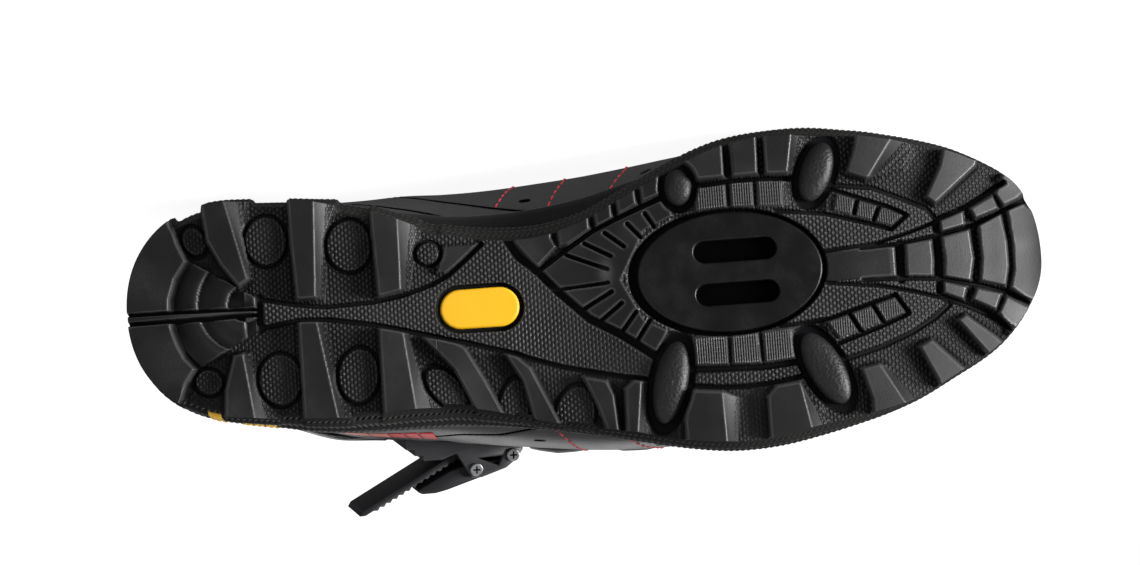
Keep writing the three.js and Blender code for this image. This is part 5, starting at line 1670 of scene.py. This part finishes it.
def makeCleatPlate():
    cx, cy = plate["at"] * shoe["length"], plate["centreSide"]
    slots = [stadiumLoop(cx + plate["slotShift"], cy + side * plate["slotSpacing"] / 2, plate["slotLength"],
                         plate["slotWidth"]) for side in (-1, 1)]
    outline = ovalLoop(cx, cy, plate["length"] / 2, plate["width"] / 2)
    makePlate("cleat_seat", [outline, *slots], 0.0, plate["thickness"], onPlate, "plate_nylon", "plateNylon",
              "cleat_plate", 0.7)
    # Near-black floors in the plate's slots: painted shade in the slots
    floor = [stadiumLoop(cx + plate["slotShift"], cy + side * plate["slotSpacing"] / 2,
                         plate["slotLength"] + 1, plate["slotWidth"] + 1) for side in (-1, 1)]
    for side, loop in zip(("outer", "inner"), floor[::-1]):
        makePlate(f"slot_floor_{side}", [loop], plate["thickness"] - 0.9, plate["thickness"] - 0.2, onPlate,
                  "plate_nylon", "darkRecess", "cleat_plate", 0.1)


makeCleatPlate()

badge = {"at": 0.382, "side": 5.3, "length": 26, "width": 13, "proud": 1.4, "deep": 1.0}


def makeBadge():
    cx = badge["at"] * shoe["length"]
    under = underHeight(np.array([badge["at"]]))[0]
    outline = stadiumLoop(cx, badge["side"], badge["length"], badge["width"])
    piece = makePlate("waist_badge", [outline], under - badge["proud"], under + badge["deep"], lambda p: p,
                      "badge_yellow", "badge", "sole_badge", 0.9)
    piece.modifiers["edges"].segments = 3


makeBadge()


# Pods: rings over an oval shrink as they rise, as on half of a superellipsoid above a short upright wall
def makePods():
    for name, at, side, long, short, turn in pods:
        cx, cy = at * shoe["length"], side * treadEdge(np.array([at]), side)[0]
        under = underHeight(np.array([at]))[0]
        phi = np.linspace(0, math.pi / 2, 22)
        share = np.concatenate([[1.0, 1.0, 1.0], np.maximum(np.cos(phi) ** 0.75, 0.004)])
        rise = np.concatenate([[-1.5, 0.5, 1.6], 2.0 + 3.0 * np.sin(phi)])
        angle = np.linspace(0, 2 * math.pi, 56, endpoint=False)
        lean = math.radians(turn)
        u = short * np.cos(angle)
        v = long * np.sin(angle)
        x = cx + share[:, None] * (u * math.cos(lean) - v * math.sin(lean))[None, :]
        y = cy + share[:, None] * (u * math.sin(lean) + v * math.cos(lean))[None, :]
        z = np.broadcast_to((under - rise)[:, None], x.shape)
        faces = gridFaces(*x.shape, closed=True)
        faces += [list(range(56)), [(len(share) - 1) * 56 + j for j in range(56)][::-1]]
        piece = addMesh(f"{name}_dome", np.stack([x, y, z], -1).reshape(-1, 3), faces)
        dress(piece, "podRubber")
        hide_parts(name)


makePods()
print("plate, badge and pods made")

# Buckle in its own frame: x forward along the shoe, y away from the upper, z across the strap
buckle = {
    "at": (81.9, 44.166, 73), "lean": 14, "pitch": 16, "length": 41, "width": 27,
    "screws": ((37.3, 4), (24.4, 8.4)), "screwSize": 4.4,
}


def onBuckle(points):
    lean, pitch = math.radians(buckle["lean"]), math.radians(-buckle["pitch"])
    x, y, z = points[..., 0], points[..., 1], points[..., 2]
    y, z = y * math.cos(lean) - z * math.sin(lean), y * math.sin(lean) + z * math.cos(lean)
    x, z = x * math.cos(pitch) + z * math.sin(pitch), -x * math.sin(pitch) + z * math.cos(pitch)
    return np.stack([x, y, z], -1) + np.array(buckle["at"], float)


# A CAD solid with its loose triangles joined and its hard edges rounded
def roundedCopy(name, node, finish, width):
    work = bmesh.new()
    work.from_mesh(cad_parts[node].data)
    bmesh.ops.remove_doubles(work, verts=work.verts, dist=0.004 * mm)
    bmesh.ops.dissolve_limit(work, angle_limit=math.radians(2.5), verts=work.verts, edges=work.edges)
    mesh = bpy.data.meshes.new(name)
    work.to_mesh(mesh)
    work.free()
    mesh.polygons.foreach_set("use_smooth", np.full(len(mesh.polygons), True))
    piece = bpy.data.objects.new(name, mesh)
    bpy.context.scene.collection.objects.link(piece)
    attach(piece, "root")
    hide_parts(node)
    dress(piece, finish)
    return finishEdges(piece, width, 25)


def makeBuckle():
    roundedCopy("buckle_frame", "buckle_base", "greyPlastic", 0.4)
    roundedCopy("toothed_strap", "ladder_strap", "hardPlastic", 0.25)
    roundedCopy("ratchet_lever", "buckle_lever", "hardPlastic", 0.5)
    for row, (x, y) in zip(("front", "rear"), buckle["screws"]):
        for edge, side in (("lower", -1), ("upper", 1)):
            face = side * (buckle["width"] / 2 + 0.3)
            low, high = sorted((face, face + side * 1.0))
            outline = ovalLoop(x, y, buckle["screwSize"] / 2, buckle["screwSize"] / 2, 32)
            makePlate(f"screw_{row}_{edge}", [outline], low, high, onBuckle, "screw_steel", "screwMetal",
                      f"buckle_screw_{row}_{edge}", 0.3)
            # A near-black cross on the screw head: painted shade in its recess
            arm, wide = 1.25, 0.28
            cross = [(arm, -wide), (arm, wide), (wide, wide), (wide, arm), (-wide, arm), (-wide, wide),
                     (-arm, wide), (-arm, -wide), (-wide, -wide), (-wide, -arm), (wide, -arm), (wide, -wide)]
            top = face + side * 1.0
            ends = sorted((top - side * 0.3, top + side * 0.02))
            makePlate(f"screw_cross_{row}_{edge}", [[(x + u, y + v) for u, v in cross]], *ends, onBuckle,
                      "screw_steel", "darkRecess", f"buckle_screw_{row}_{edge}", 0.01)


makeBuckle()
print("buckle made")
